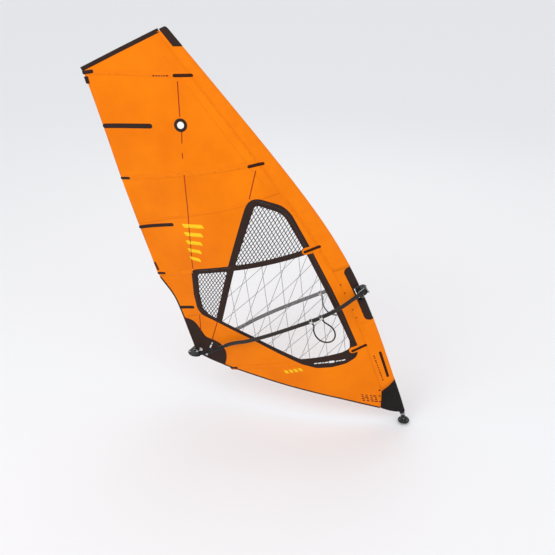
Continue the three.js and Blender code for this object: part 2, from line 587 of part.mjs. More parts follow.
// Corner reinforcements: the clew patch with its lashing ring, and the edge of the cut-out.
const CLEW_RING = [1669, 1088];
const CLEW_EYE = [1631, 1028];
function reinforcements() {
  const rows = [[lerp(CLEW_EDGE[0], CLEW_EDGE[1], 0.15), [1703, 1442]], [CLEW_EDGE[1], [1706, 1401]],
    [CLEW_EDGE[2], [1708, 1316]], [CLEW_EDGE[3], [1711, 1226]], [CLEW_EDGE[4], [1712, 1173]],
    [CLEW_EDGE[5], [1713, 1104]], [CLEW_EDGE[6], [1690, 1046]], [CLEW_EDGE[7], [1605, 975]],
    [lerp(CLEW_EDGE[7], FOOT_AFT, 0.95), [1496, 909]]];
  const hole = ([aft, z], r) => rod('y', r, -60, 40, -aft, z, 16);
  place(rig, 'clew_patch', cut(panel(rows, 3), hole(CLEW_RING, 13), hole(CLEW_EYE, 9)), TAPE);
  const eyelet = turned([[9, -3.6], [17, -3.6], [17, -2.4], [11.5, -2.4], [11.5, 2.4], [17, 2.4],
    [17, 3.6], [9, 3.6], [9, -3.6]]);
  const [aft, z] = CLEW_RING;
  const tilt = Math.atan((belly(aft - 20, z) - belly(aft + 20, z)) / 40);
  place(rig, 'clew_ring', eyelet.rotateX(Math.PI / 2).rotateZ(tilt)
    .translate(-aft, belly(aft, z), z), STEEL);
  const notch = [[1628, 24], [1560, 24], [1492, 24], [1478, 39], [1406, 39], [1336, 39], [1322, 24],
    [1240, 24], [1162, 24]];
  const edge = notch.map(([height, q]) => [cutEdge(height, q), cutEdge(height, 43)]);
  place(rig, 'cutout_patch', panel(edge), TAPE);
}

// Full-length battens on the port face of the sail.
function battens() {
  const lines = [[sleeveEdge(3550), [1640, 3794]], [sleeveEdge(2742), [1716, 2874]],
    [[300, 1912], [1755, 1912]], [[205, 876], [1455, 874]]];
  lines.forEach(([luffEnd, aftEnd], i) => {
    const low = span([luffEnd[0] + 6, luffEnd[1] - 6], [aftEnd[0], aftEnd[1] - 6], 13);
    const high = low.map(([aft, z]) => [aft, z + 12]);
    place(rig, `batten_${i + 1}`, panel([low, high], 1, 5, 9.5), CARBON);
  });
}

// The boom lies in its own plane: x aft from the mast's axis, y to starboard, z up.
const boom = new THREE.Group();
const aftward = new THREE.Vector3(-Math.cos(BOOM_DROP), 0, -Math.sin(BOOM_DROP));
const starboard = new THREE.Vector3(0, -1, 0);
const upward = new THREE.Vector3().crossVectors(aftward, starboard);
boom.quaternion.setFromRotationMatrix(new THREE.Matrix4().makeBasis(aftward, starboard, upward));
boom.position.set(-mastAft(BOOM_HEIGHT), 0, BOOM_HEIGHT);
rig.add(boom);

const mastSlope = (mastAft(BOOM_HEIGHT + 10) - mastAft(BOOM_HEIGHT - 10)) / 20;
const MAST_TILT = BOOM_DROP - Math.atan(mastSlope);
const mastRoom = () => rod('z', MAST_R + 1.2, -60, 60, 0, 0, 28).rotateY(-MAST_TILT);
const ARM_PATH = [[-17.5, 57.8], [39, 98], [165, 185], [343, 232], [570, 236], [874, 221], [1100, 185],
  [1200, 150], [1280, 129], [1340, LEG_Y], [1420, LEG_Y], [ARM_END, LEG_Y]];
const HINGE = [5, -37];

function boomHead() {
  const plan = [[-0.2, -33], [-0.2, 38], [-34, 46], [-56, 34], [-60, 14], [-60, -14], [-56, -34],
    [-34, -46], [-10, -44]];
  const block = slab(plan, -32, 32);
  const socket = (side) => {
    const angle = Math.atan2(52, 73);
    return rod('x', 19, -14, 19.5, 0, 0).rotateZ(side * angle).translate(-34, side * 46, 0);
  };
  const lugs = [-1, 1].map((side) => box(16, 6, 14, -64, side * 13.5, 24));
  const leverPin = rod('y', 2.5, -16, 16, -66, 24);
  const knuckles = [-1, 1].map((side) => rod('z', 6.5, side > 0 ? 14.5 : -28, side > 0 ? 28 : -14.5,
    ...HINGE));
  const knuckleRoots = [-1, 1].map((side) => box(14, 10, 13.5, -2, -35, side * 21.25));
  const hingePin = rod('z', 3, -28, 28, ...HINGE);
  const barrelRoom = rod('z', 7.2, -14.2, 14.2, ...HINGE);
  const body = cut(join(block, socket(1), socket(-1), ...lugs), mastRoom(), barrelRoom);
  const whole = cut(join(body, ...knuckles, ...knuckleRoots, hingePin, leverPin), mastRoom());
  place(boom, 'boom_head', whole, PLASTIC);
}

function clampJaw() {
  const plan = [[0.4, -31]];
  for (let i = 0; i <= 8; i++) {
    const angle = -Math.PI / 2 + Math.PI * i / 8;
    plan.push([0.4 + 28 * Math.cos(angle), 28 * Math.sin(angle)]);
  }
  plan.push([0.4, 36]);
  const body = slab(plan, -30, 30);
  const catchPlate = slab([[0.4, 26], [0.4, 36], [9, 36], [14, 24]], -14, 14);
  const barrel = rod('z', 6.5, -14, 14, ...HINGE);
  const arm = slab([[0.4, -34], [0.4, -26], [12, -22], [11, -38]], -14, 14);
  const knuckleRoom = [-1, 1].map((side) => rod('z', 7.2, side > 0 ? 14.1 : -31,
    side > 0 ? 31 : -14.1, ...HINGE));
  const jaw = cut(join(body, catchPlate, barrel, arm), mastRoom(), ...knuckleRoom,
    rod('z', 3.3, -31, 31, ...HINGE));
  place(boom, 'clamp_jaw', jaw, PLASTIC);
}

function clampLever() {
  const side = [[-70, 26], [-65, 29.4], [-61, 24], [-62, 6], [-63, -20], [-72, -40], [-76, -38],
    [-70, -18], [-70, 6]];
  const plate = slab(side, -10, 10).rotateX(Math.PI / 2);
  const barrel = rod('y', 5.6, -10, 10, -66, 24);
  const bore = rod('y', 2.8, -20, 20, -66, 24);
  place(boom, 'clamp_lever', cut(join(plate, barrel), bore), ALLOY);
}

function boomArms() {
  for (const [side, name] of [[1, 'starboard'], [-1, 'port']]) {
    const arm = tube(ARM_PATH.map(([x, y]) => [x, side * y, 0]), ARM_R, 10, 26);
    const collar = rod('x', 19, 1458, ARM_END, side * LEG_Y, 0);
    const bore = rod('x', LEG_R + 0.7, LEG_START - 12, ARM_END + 10, side * LEG_Y, 0, 16);
    const outside = side * (LEG_Y + 19);
    const lugs = [-1, 1].map((end) => box(10, 9, 4, 1464, outside + side * 2, end * 9.5));
    const clipPin = rod('z', 2, -11, 11, 1464, outside + side * 3);
    const solid = cut(join(arm, collar, ...lugs, clipPin), bore);
    place(boom, `boom_arm_${name}`, solid, GRIP);
    const leverPlan = [[1461, 2], [1468, 1.2], [1496, 1.2], [1504, 5], [1500, 8], [1490, 5.6], [1461, 5.6]]
      .map(([x, y]) => [x, side * y + outside]);
    const clip = join(slab(leverPlan, -7, 7), rod('z', 3.6, -7, 7, 1464, outside + side * 3.8));
    place(boom, `tail_clip_${name}`, cut(clip, rod('z', 2.4, -9, 9, 1464, outside + side * 3)), PLASTIC);
  }
}

// The tail: a bent tube whose legs slide in the arms, and the outhaul fitting on its bend.
const TAIL_PATH = [[LEG_START, LEG_Y], [1400, LEG_Y], [1505, LEG_Y], [1560, LEG_Y], [1640, 110], [1705, 70],
  [1748, 34], [1760, 0]];
const tailRoute = () => [...TAIL_PATH, ...TAIL_PATH.slice(0, -1).toReversed().map(([x, y]) => [x, -y])]
  .map(([x, y]) => [x, y, 0]);
function boomTail() {
  place(boom, 'tail_tube', tube(tailRoute(), LEG_R, 10, 32), CARBON);
  const half = [[1700, 34], [1676, 60], [1616, 92], [1622, 134], [1665, 122], [1718, 88], [1756, 54],
    [1782, 28]];
  const plan = [...half, [1788, 0], ...half.toReversed().map(([x, y]) => [x, -y])];
  const tunnel = tube(tailRoute(), LEG_R + 0.4, 10, 32);
  const slot = box(40, 60, 8.6, 1708, 0, 0);
  const pins = [-1, 1].map((side) => rod('z', 3, -16, 16, OUTHAUL_X, side * OUTHAUL_Y));
  const shell = cut(slab(plan, -20, 20), tunnel, slot);
  place(boom, 'tail_fitting', join(shell, ...pins), PLASTIC);
  for (const [side, name] of [[1, 'starboard'], [-1, 'port']]) {
    place(boom, `tail_sheave_${name}`, sheave(3.3, 10.5, 8, 7)
      .translate(OUTHAUL_X, side * OUTHAUL_Y, 0), PLASTIC);
  }
}

function outhaul() {
  const reach = 8 + ROPE_R + 1.5;
  const wrap = (side) => [0.25, 0.5, 0.75].map((share) => {
    const angle = Math.PI * share;
    return [OUTHAUL_X + reach * Math.sin(angle), side * (OUTHAUL_Y - reach * Math.cos(angle)), 0];
  });
  const start = [[1700, -OUTHAUL_Y + reach, 0], [OUTHAUL_X, -OUTHAUL_Y + reach, 0], ...wrap(-1),
    [OUTHAUL_X, -OUTHAUL_Y - reach, 0], [1704, -OUTHAUL_Y - reach, -1]];
  const end = start.toReversed().map(([x, y, z]) => [x, -y, z]);
  const eye = [[1678, -16, -8], [1656, -8, -12], [1650, 5, -12], [1656, 18, -12], [1680, 22, -7]];
  place(boom, 'outhaul_rope', tube([...start, ...eye, ...end], ROPE_R, 6, 44), ROPE);
}

// Harness lines hang in the upright plane through the part of the arm that carries them.
const LINE_FORE = 330;
const LINE_AFT = 425;
const STRAP_R = ARM_R + 1.6;
const STRAP_LOW = 31.5;
function hangingFrame(from, to) {
  const along = to.clone().sub(from).normalize();
  const up = new THREE.Vector3(0, 0, 1);
  up.addScaledVector(along, -up.dot(along)).normalize();
  const across = new THREE.Vector3().crossVectors(up, along);
  const frame = new THREE.Group();
  frame.position.copy(from).lerp(to, 0.5);
  frame.quaternion.setFromRotationMatrix(new THREE.Matrix4().makeBasis(along, across, up));
  part.add(frame);
  return frame;
}

function harnessLines() {
  part.updateMatrixWorld(true);
  for (const [side, name] of [[1, 'starboard'], [-1, 'port']]) {
    const onArm = (x) => boom.localToWorld(new THREE.Vector3(x, side * armY(x), 0));
    const half = onArm(LINE_FORE).distanceTo(onArm(LINE_AFT)) / 2;
    const top = -STRAP_LOW - 3;
    const loop = [[half, 0, top], [half + 3, 0, top - 20], [half + 24, 0, -92], [half + 33, 0, -150],
      [half + 18, 0, -207], [half - 22, 0, -245], [-24, 0, -252], [-64, 0, -226],
      [-half - 38, 0, -180], [-half - 38, 0, -130], [-half - 20, 0, -86],
      [-half - 3, 0, top - 18], [-half, 0, top]];
    place(hangingFrame(onArm(LINE_FORE), onArm(LINE_AFT)), `harness_line_${name}`,
      tube(loop, LINE_R, 8, 28), PLASTIC);
    [LINE_FORE, LINE_AFT].forEach((x, i) => {
      const band = ring(STRAP_R, STRAP_R + 2.4, -13, 13, 12).rotateY(Math.PI / 2);
      const tab = box(18, 8, STRAP_LOW - STRAP_R, 0, 0, -(STRAP_LOW + STRAP_R) / 2);
      const hollow = rod('x', STRAP_R, -20, 20, 0, 0);
      place(hangingFrame(onArm(x - 8), onArm(x + 8)), `harness_strap_${name}_${i + 1}`,
        cut(join(band, tab), hollow), WHITE);
    });
  }
}

// The arm's distance from the boom's middle at a distance aft, found on its own curve.
function armY(x) {
  const curve = curveThrough(ARM_PATH.map(([aft, y]) => [aft, y, 0]));
  let low = 0;
  let high = 1;
  for (let i = 0; i < 30; i++) {
    const t = (low + high) / 2;
    if (curve.getPointAt(t).x < x) low = t;
    else high = t;
  }
  return curve.getPointAt(low).y;
}

deckBase();
universalJoint();
mastExtension();
downhaul();
place(rig, 'mast_bottom', mastTube(COLLAR_TOP + GAP, MAST_JOINT - GAP), CARBON);
place(rig, 'mast_top', mastTube(MAST_JOINT, MAST_TOP), CARBON);
luffPieces();
windowFrames();
windows();
bodyPanels();
footPanels();
reinforcements();
battens();
boomHead();
clampJaw();
clampLever();
boomArms();
boomTail();
outhaul();
harnessLines();

export default part;
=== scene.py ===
"""Looks of the windsurf sail rig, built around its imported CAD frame. Millimetres are turned into
metres by MM. Most points are given as (aft, height): the distance aft of the mast's foot and the
height along the unbent mast, before the whole rig leans aft by RAKE."""
import json
import math
import random

import bmesh
import bpy
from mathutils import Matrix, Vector
from mathutils.bvhtree import BVHTree

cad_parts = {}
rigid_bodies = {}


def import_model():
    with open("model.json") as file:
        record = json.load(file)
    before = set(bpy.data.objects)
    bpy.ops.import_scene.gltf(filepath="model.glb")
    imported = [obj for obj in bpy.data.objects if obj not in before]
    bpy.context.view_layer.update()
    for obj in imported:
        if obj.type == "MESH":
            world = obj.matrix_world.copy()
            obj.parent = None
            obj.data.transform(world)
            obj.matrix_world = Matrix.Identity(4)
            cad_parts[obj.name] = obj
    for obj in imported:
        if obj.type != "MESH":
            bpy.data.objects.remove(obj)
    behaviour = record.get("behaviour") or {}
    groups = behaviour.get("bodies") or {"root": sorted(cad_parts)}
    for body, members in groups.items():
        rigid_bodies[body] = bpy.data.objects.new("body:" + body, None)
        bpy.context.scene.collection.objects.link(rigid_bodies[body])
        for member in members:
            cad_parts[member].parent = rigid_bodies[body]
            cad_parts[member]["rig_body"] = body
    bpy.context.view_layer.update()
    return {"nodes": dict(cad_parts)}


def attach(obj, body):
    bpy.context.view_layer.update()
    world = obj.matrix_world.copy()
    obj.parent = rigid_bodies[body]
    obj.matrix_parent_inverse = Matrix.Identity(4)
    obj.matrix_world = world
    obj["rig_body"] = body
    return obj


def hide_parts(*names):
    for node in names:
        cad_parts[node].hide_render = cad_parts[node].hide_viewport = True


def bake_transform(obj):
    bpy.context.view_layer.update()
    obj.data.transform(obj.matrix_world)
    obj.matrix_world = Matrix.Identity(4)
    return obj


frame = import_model()
nodes = frame["nodes"]

MM = 0.001
NEARLY_STRAIGHT = math.radians(172)

# The rig's lean, and the height of the pivot that it leans about
RAKE = math.radians(18)
PIN_Z = 30

# The mast, the sleeve's cut-out and cuffs, and the sail's curve
MAST_R, TIP_R = 18, 10
MAST_JOINT, MAST_TOP = 2080, 3915
CUT_LOW, CUT_HIGH, CUT_TAIL = 1130, 1660, 46
CUFF_LOW, CUFF_HIGH, CUFF_DEPTH = 1341, 1471, 62
HEAD_CAP_LOW, HEAD_CAP_TOP = 3775, 3925
SLEEVE_GAP, CUFF_GAP, CAP_GAP = 3.0, 1.4, 4.4
DRAFT, TWIST, CHORD_END = 170, 100, 1730
RAY_START = 500

# The boom's own frame, in metres and as unit vectors, then places along it in mm
BOOM_ORIGIN = Vector((-0.47108, 0, 1.32375))
X_B = Vector((-0.876307, 0, -0.481754))
Y_B = Vector((0, -1, 0))
Z_B = Vector((-0.481754, 0, 0.876307))
ARM_SIDE, COLLAR_PIN_X = 128, 1464
TAIL_WHEEL_X, TAIL_WHEEL_Y = 1712, 15
BOOM_SIDES = ((1, "starboard"), (-1, "port"))
ENDS = ((-1, "low"), (1, "high"))


# Places
def world(aft, y, height):
    """A point of the rig, in metres in the part's frame."""
    up = height - PIN_Z
    return Vector((-aft * math.cos(RAKE) - up * math.sin(RAKE), y,
                   -aft * math.sin(RAKE) + up * math.cos(RAKE) + PIN_Z)) * MM


def on_boom(x, y, z):
    """A point in metres, from mm along the boom, to starboard and up from its plane."""
    return BOOM_ORIGIN + (X_B * x + Y_B * y + Z_B * z) * MM


def bend(height):
    """How far aft the bent mast is from its straight line."""
    return max(0.0, 152 * math.log1p(math.exp((height - 1735) / 370)) - 4.6)


def mast_radius(height):
    """The mast's outside radius: straight below its joint, tapered above it."""
    taper = max(0.0, (height - MAST_JOINT) / (MAST_TOP - MAST_JOINT))
    return MAST_R - (MAST_R - TIP_R) * taper


def belly(aft, height):
    """The sail's sideways curve: the draft is deepest 40% aft, and the leech twists off."""
    front = bend(height)
    t = min(1.0, max(0.0, (aft - front) / (CHORD_END - front)))
    fullness = max(0.0, 1 - ((height - 1800) / 2200) ** 2) ** 1.3
    profile = t * (1 - t) ** 1.5 / 0.186
    return -(DRAFT * fullness * profile + TWIST * (t * (height - 1000) / 2900) ** 2)


def sleeve_tail(height):
    """How far aft of the mast's axis the sleeve ends."""
    return 118 - 38 * max(0, height - CUT_HIGH) / 2300


def sleeve_edge(height, lap=12):
    """A point on the sleeve's rear edge, or lap ahead of it."""
    return (bend(height) + sleeve_tail(height) - lap, height)


def cut_edge(height):
    """A point on the rear edge of the sleeve's cut-out."""
    return (bend(height) + CUT_TAIL, height)


def lerp(p, q, t):
    return tuple(a + (b - a) * t for a, b in zip(p, q))


def steps(low, high, step):
    """Evenly spaced values from low to high, about step apart."""
    count = max(1, round(abs(high - low) / step))
    return [low + (high - low) * i / count for i in range(count + 1)]


def nth(value, i):
    """One of a list of values, or the single value that is given for all."""
    return value[i] if isinstance(value, (list, tuple)) else value


def circle(centre, radius, count):
    """A round outline of an even number of points."""
    angles = [k * math.pi / (count // 2) for k in range(count)]
    return [(centre[0] + radius * math.cos(t), centre[1] + radius * math.sin(t)) for t in angles]


def mirrored(half):
    """A closed outline from its first half, mirrored in the line where the second number is 0."""
    return half + [(x, -y) for x, y in half[::-1] if y]


def smooth_line(points, each=8):
    """A centripetal Catmull-Rom curve through points of two or three numbers."""
    pts = [Vector(p if len(p) == 3 else (*p, 0)) for p in points]
    pts = [2 * pts[0] - pts[1]] + pts + [2 * pts[-1] - pts[-2]]
    made = []
    for a, b, c, d in zip(pts, pts[1:], pts[2:], pts[3:]):
        t1 = max(1e-6, (b - a).length ** 0.5)
        t2 = t1 + max(1e-6, (c - b).length ** 0.5)
        t3 = t2 + max(1e-6, (d - c).length ** 0.5)
        for k in range(each):
            t = t1 + (t2 - t1) * k / each
            ab = a.lerp(b, t / t1)
            bc = b.lerp(c, (t - t1) / (t2 - t1))
            cd = c.lerp(d, (t - t2) / (t3 - t2))
            abc = ab.lerp(bc, t / t2)
            bcd = bc.lerp(cd, (t - t1) / (t3 - t1))
            made.append(abc.lerp(bcd, (t - t1) / (t2 - t1)))
    made.append(pts[-2])
    return [tuple(p)[:len(points[0])] for p in made]


def rounded(corners, radius, arc=6):
    """A closed outline whose corners are rounded. radius may be one number or one per corner."""
    made = []
    for i, corner in enumerate(corners):
        p, q, s = Vector(corners[i - 1]), Vector(corner), Vector(corners[(i + 1) % len(corners)])
        to_p, to_s = p - q, s - q
        turn = to_p.angle(to_s)
        reach = min(nth(radius, i) / math.tan(turn / 2), 0.45 * to_p.length, 0.45 * to_s.length)
        if reach < 1 or turn > NEARLY_STRAIGHT:
            made.append(tuple(corner))
            continue
        a, b = q + to_p.normalized() * reach, q + to_s.normalized() * reach
        for k in range(arc + 1):
            t = k / arc
            made.append(tuple(a * (1 - t) ** 2 + q * 2 * t * (1 - t) + b * t * t))
    return made


# Materials
def shader(name, color, roughness, metallic=0.0, **extra):
    """A Principled material. extra sets more of its inputs by their name with _ for a space."""
    made = bpy.data.materials.new(name)
    made.use_nodes = True
    tree = made.node_tree
    principled = tree.nodes["Principled BSDF"]
    principled.inputs["Base Color"].default_value = (*color, 1)
    principled.inputs["Roughness"].default_value = roughness
    principled.inputs["Metallic"].default_value = metallic
    for key, value in extra.items():
        principled.inputs[key.replace("_", " ")].default_value = value
    made.diffuse_color = (*color, 1)
    return made, tree, principled


def feed(tree, socket, value):
    """Links a socket to another one, or sets its value."""
    if isinstance(value, bpy.types.NodeSocket):
        tree.links.new(value, socket)
    else:
        socket.default_value = value


def node(tree, kind, settings=None, **inputs):
    """A shader node. settings are its properties, and inputs its sockets by name."""
    made = tree.nodes.new(kind)
    for key, value in (settings or {}).items():
        setattr(made, key, value)
    for key, value in inputs.items():
        feed(tree, made.inputs[key.replace("_", " ")], value)
    return made


def coords(tree, scale, turn=0.0, uv=False):
    """Texture coordinates in metres times scale: along the cloth with uv, or in the object."""
    source = node(tree, "ShaderNodeTexCoord")
    where = source.outputs["UV" if uv else "Object"]
    size = scale if isinstance(scale, tuple) else (scale,) * 3
    mapping = node(tree, "ShaderNodeMapping", Vector=where, Scale=size, Rotation=(0, 0, turn))
    return mapping.outputs[0]


def noise(tree, vector, scale, detail=4.0, roughness=0.55):
    made = node(tree, "ShaderNodeTexNoise", Vector=vector, Scale=scale, Detail=detail,
                Roughness=roughness)
    return made.outputs["Fac"]


def stripes(tree, vector, scale, distortion=0.0):
    made = node(tree, "ShaderNodeTexWave", {"bands_direction": "X"}, Vector=vector, Scale=scale,
                Distortion=distortion)
    return made.outputs["Fac"]


def ramp(tree, fac, low, high, a=0.0, b=1.0):
    """Maps fac from low..high to a..b, clamped."""
    made = node(tree, "ShaderNodeMapRange", {"clamp": True}, Value=fac)
    for key, value in (("From Min", low), ("From Max", high), ("To Min", a), ("To Max", b)):
        made.inputs[key].default_value = value
    return made.outputs[0]


def maths(tree, operation, a, b):
    made = node(tree, "ShaderNodeMath", {"operation": operation})
    for socket, value in zip(made.inputs, (a, b)):
        feed(tree, socket, value)
    return made.outputs[0]


def blend_colors(tree, fac, a, b):
    made = node(tree, "ShaderNodeMix", {"data_type": "RGBA"})
    tree.links.new(fac, made.inputs[0])
    for socket, value in ((made.inputs[6], a), (made.inputs[7], b)):
        feed(tree, socket, (*value, 1) if isinstance(value, tuple) else value)
    return made.outputs[2]


def bump(tree, principled, height, strength, distance):
    made = node(tree, "ShaderNodeBump", Strength=strength, Distance=distance, Height=height)
    tree.links.new(made.outputs[0], principled.inputs["Normal"])


def paint_color(tree, principled, fac, a, b):
    tree.links.new(blend_colors(tree, fac, a, b), principled.inputs["Base Color"])


def rough_by(tree, principled, fac, low, high):
    tree.links.new(ramp(tree, fac, 0.3, 0.7, low, high), principled.inputs["Roughness"])


ORANGE = (0.93, 0.225, 0.0015)
ORANGE_DEEP = (0.84, 0.185, 0.0012)
BROWN = (0.042, 0.023, 0.018)


def orange_film():
    """Laminated film: a faint grid of threads between two glossy skins, in cloudy orange."""
    made, tree, principled = shader("orange_film", ORANGE, 0.36, Specular_IOR_Level=0.06,
                                    Coat_Weight=0.03, Coat_Roughness=0.15)
    clouds = noise(tree, coords(tree, 1, uv=True), 2.3, 3)
    threads = None
    for turn in (0.62, -0.62, math.pi / 2):
        lines = ramp(tree, stripes(tree, coords(tree, 1, turn, True), 22), 0.93, 1.0)
        threads = lines if threads is None else maths(tree, "MAXIMUM", threads, lines)
    base = blend_colors(tree, ramp(tree, clouds, 0.35, 0.65), ORANGE, ORANGE_DEEP)
    faint = maths(tree, "MULTIPLY", threads, 0.16)
    color = blend_colors(tree, faint, base, (0.6, 0.11, 0.001))
    tree.links.new(color, principled.inputs["Base Color"])
    rough_by(tree, principled, clouds, 0.31, 0.42)
    wrinkles = noise(tree, coords(tree, 1, uv=True), 3.1, 2)
    height = maths(tree, "ADD", maths(tree, "MULTIPLY", threads, 0.15), wrinkles)
    bump(tree, principled, height, 0.25, 0.004)
    return made


def cloth(name, light, dark, thread=900, roughness=0.7, strength=0.35):
    """A plain weave of two crossing sets of yarn."""
    made, tree, principled = shader(name, light, roughness, Specular_IOR_Level=0.08)
    across = stripes(tree, coords(tree, 1, 0, True), thread / 6.28, 0.4)
    along = stripes(tree, coords(tree, 1, math.pi / 2, True), thread / 6.28, 0.4)
    weave = maths(tree, "MAXIMUM", across, along)
    patches = noise(tree, coords(tree, 1), 14, 5)
    tone = maths(tree, "MULTIPLY", ramp(tree, patches, 0.3, 0.7), 0.6)
    shade = maths(tree, "ADD", tone, maths(tree, "MULTIPLY", weave, 0.25))
    paint_color(tree, principled, shade, dark, light)
    rough_by(tree, principled, patches, roughness - 0.08, roughness + 0.08)
    bump(tree, principled, weave, strength, 0.0006)
    return made


def clear_film(name, color, alpha):
    """Transparent film with a slightly uneven gloss."""
    made, tree, principled = shader(name, color, 0.12, Alpha=alpha, IOR=1.45)
    haze = noise(tree, coords(tree, 1, uv=True), 6, 3)
    grey = tuple(c * 0.93 for c in color)
    paint_color(tree, principled, ramp(tree, haze, 0.3, 0.7), color, grey)
    rough_by(tree, principled, haze, 0.08, 0.2)
    bump(tree, principled, noise(tree, coords(tree, 1, uv=True), 2.5, 2), 0.15, 0.004)
    return made


def plastic(name, color, roughness, grain=900, wear=0.35):
    """Moulded plastic: fine spark texture, and paler scuffs in patches."""
    made, tree, principled = shader(name, color, roughness, Specular_IOR_Level=0.25)
    fine = noise(tree, coords(tree, 1), grain, 2)
    scuffs = noise(tree, coords(tree, 1), 45, 6, 0.7)
    pale = tuple(min(1, c * 1.9 + 0.006) for c in color)
    fac = maths(tree, "MULTIPLY", ramp(tree, scuffs, 0.48, 0.75), wear)
    paint_color(tree, principled, fac, color, pale)
    rough_by(tree, principled, scuffs, roughness - 0.07, roughness + 0.1)
    height = maths(tree, "ADD", fine, maths(tree, "MULTIPLY", scuffs, 0.4))
    bump(tree, principled, height, 0.2, 0.0004)
    return made


def metal(name, color, roughness, along=(1, 1, 60)):
    """Metal with fine machining lines and cloudy smears."""
    made, tree, principled = shader(name, color, roughness, 1.0)
    lines = noise(tree, coords(tree, along), 55, 3)
    smears = noise(tree, coords(tree, 1), 30, 4)
    dull = tuple(c * 0.82 for c in color)
    paint_color(tree, principled, ramp(tree, smears, 0.3, 0.7), color, dull)
    rough_by(tree, principled, lines, roughness - 0.06, roughness + 0.12)
    bump(tree, principled, lines, 0.12, 0.0003)
    return made


def carbon(name):
    """Wound carbon under a satin coat: crossing diagonal bands of slightly different grey."""
    made, tree, principled = shader(name, (0.02, 0.02, 0.022), 0.38, Coat_Weight=0.4,
                                    Coat_Roughness=0.2)
    one = stripes(tree, coords(tree, 1, 0.7, True), 90, 0.3)
    two = stripes(tree, coords(tree, 1, -0.7, True), 90, 0.3)
    weave = maths(tree, "MULTIPLY", one, two)
    paint_color(tree, principled, weave, (0.012, 0.012, 0.013), (0.05, 0.05, 0.054))
    rough_by(tree, principled, weave, 0.32, 0.46)
    bump(tree, principled, weave, 0.15, 0.0005)
    return made


def grip_foam():
    """Moulded grip: small raised diamonds, darker where hands have polished it."""
    made, tree, principled = shader("grip_foam", BROWN, 0.85, Sheen_Weight=0.08,
                                    Specular_IOR_Level=0.25)
    one = ramp(tree, stripes(tree, coords(tree, 1, 0.6, True), 42), 0.25, 0.6)
    two = ramp(tree, stripes(tree, coords(tree, 1, -0.6, True), 42), 0.25, 0.6)
    diamonds = maths(tree, "MULTIPLY", one, two)
    pores = noise(tree, coords(tree, 1), 700, 3)
    patches = noise(tree, coords(tree, 1), 9, 4)
    shade = maths(tree, "MULTIPLY", ramp(tree, patches, 0.3, 0.7), diamonds)
    paint_color(tree, principled, shade, (0.024, 0.018, 0.015), (0.056, 0.041, 0.036))
    rough_by(tree, principled, patches, 0.72, 0.92)
    height = maths(tree, "ADD", diamonds, maths(tree, "MULTIPLY", pores, 0.25))
    bump(tree, principled, height, 0.6, 0.0009)
    return made


def rope_look(name, light, dark, turns):
    """Braided cover: two sets of strands wound opposite ways round the line."""
    made, tree, principled = shader(name, light, 0.8, Sheen_Weight=0.05, Specular_IOR_Level=0.2)
    one = stripes(tree, coords(tree, 1, 0.8, True), turns)
    two = stripes(tree, coords(tree, 1, -0.8, True), turns)
    braid = maths(tree, "MAXIMUM", one, two)
    dirt = noise(tree, coords(tree, 1), 60, 4)
    shade = maths(tree, "MULTIPLY", braid, ramp(tree, dirt, 0.2, 0.6, 0.6, 1.0))
    paint_color(tree, principled, shade, dark, light)
    rough_by(tree, principled, dirt, 0.7, 0.9)
    bump(tree, principled, braid, 0.7, 0.0008)
    return made


MAT = {
    "film": orange_film(),
    "sleeve": cloth("orange_sleeve_cloth", ORANGE, ORANGE_DEEP, 1400, 0.5, 0.15),
    "pocket": cloth("orange_pocket_cloth", (0.91, 0.213, 0.0015), (0.84, 0.185, 0.001), 1100,
                    0.5, 0.2),
    "stitch": plastic("brown_thread", (0.085, 0.055, 0.045), 0.7, 500),
    "tape": cloth("dark_tape", BROWN, (0.028, 0.016, 0.013), 1100, 0.6, 0.3),
    "fairing": cloth("black_neoprene", (0.021, 0.018, 0.018), (0.012, 0.010, 0.010), 700, 0.8, 0.5),
    "webbing": cloth("white_webbing", (0.78, 0.78, 0.75), (0.5, 0.5, 0.47), 1600, 0.8, 0.6),
    "webbing_brown": cloth("brown_webbing", (0.10, 0.07, 0.06), (0.05, 0.035, 0.03), 1600, 0.8, 0.6),
    "thread_dark": plastic("scrim_thread", (0.035, 0.03, 0.03), 0.5, 500),
    "thread_grey": plastic("grey_thread", (0.22, 0.215, 0.21), 0.5, 500),
    "line_ink": plastic("thin_line_ink", (0.30, 0.018, 0.001), 0.7, 500, 0.1),
    "dash_ink": cloth("dash_tape", (0.055, 0.016, 0.007), (0.04, 0.011, 0.005), 1100, 0.7, 0.3),
    "ink": plastic("dark_ink", (0.15, 0.014, 0.002), 0.6, 500, 0.1),
    "white_ink": plastic("white_ink", (0.85, 0.85, 0.82), 0.45, 500),
    "yellow_ink": plastic("yellow_ink", (0.95, 0.58, 0.003), 0.6, 500, 0.05),
    "scrim_film": clear_film("scrim_film", (0.97, 0.97, 0.97), 0.16),
    "clear": clear_film("clear_film", (0.90, 0.91, 0.92), 0.08),
    "plastic": plastic("black_nylon", (0.013, 0.013, 0.013), 0.5),
    "urethane": plastic("joint_urethane", (0.03, 0.03, 0.033), 0.32, 300),
    "rubber": plastic("pad_rubber", (0.022, 0.021, 0.021), 0.85, 1500),
    "steel": metal("stainless_steel", (0.56, 0.57, 0.58), 0.24),
    "alloy": metal("grey_alloy", (0.33, 0.34, 0.36), 0.34),
    "black_alloy": metal("black_alloy", (0.028, 0.028, 0.03), 0.38),
    "carbon": carbon("wound_carbon"),
    "grip": grip_foam(),
    "rope": rope_look("white_rope", (0.74, 0.73, 0.68), (0.34, 0.33, 0.29), 140),
    "line": rope_look("harness_line_cover", (0.040, 0.028, 0.024), (0.018, 0.013, 0.012), 60),
}


# Meshes
def quads(first, second, count, closed=True):
    """The faces between two rings of vertices. first and second are where the rings begin."""
    return [[first + k, first + (k + 1) % count, second + (k + 1) % count, second + k]
            for k in range(count if closed else count - 1)]


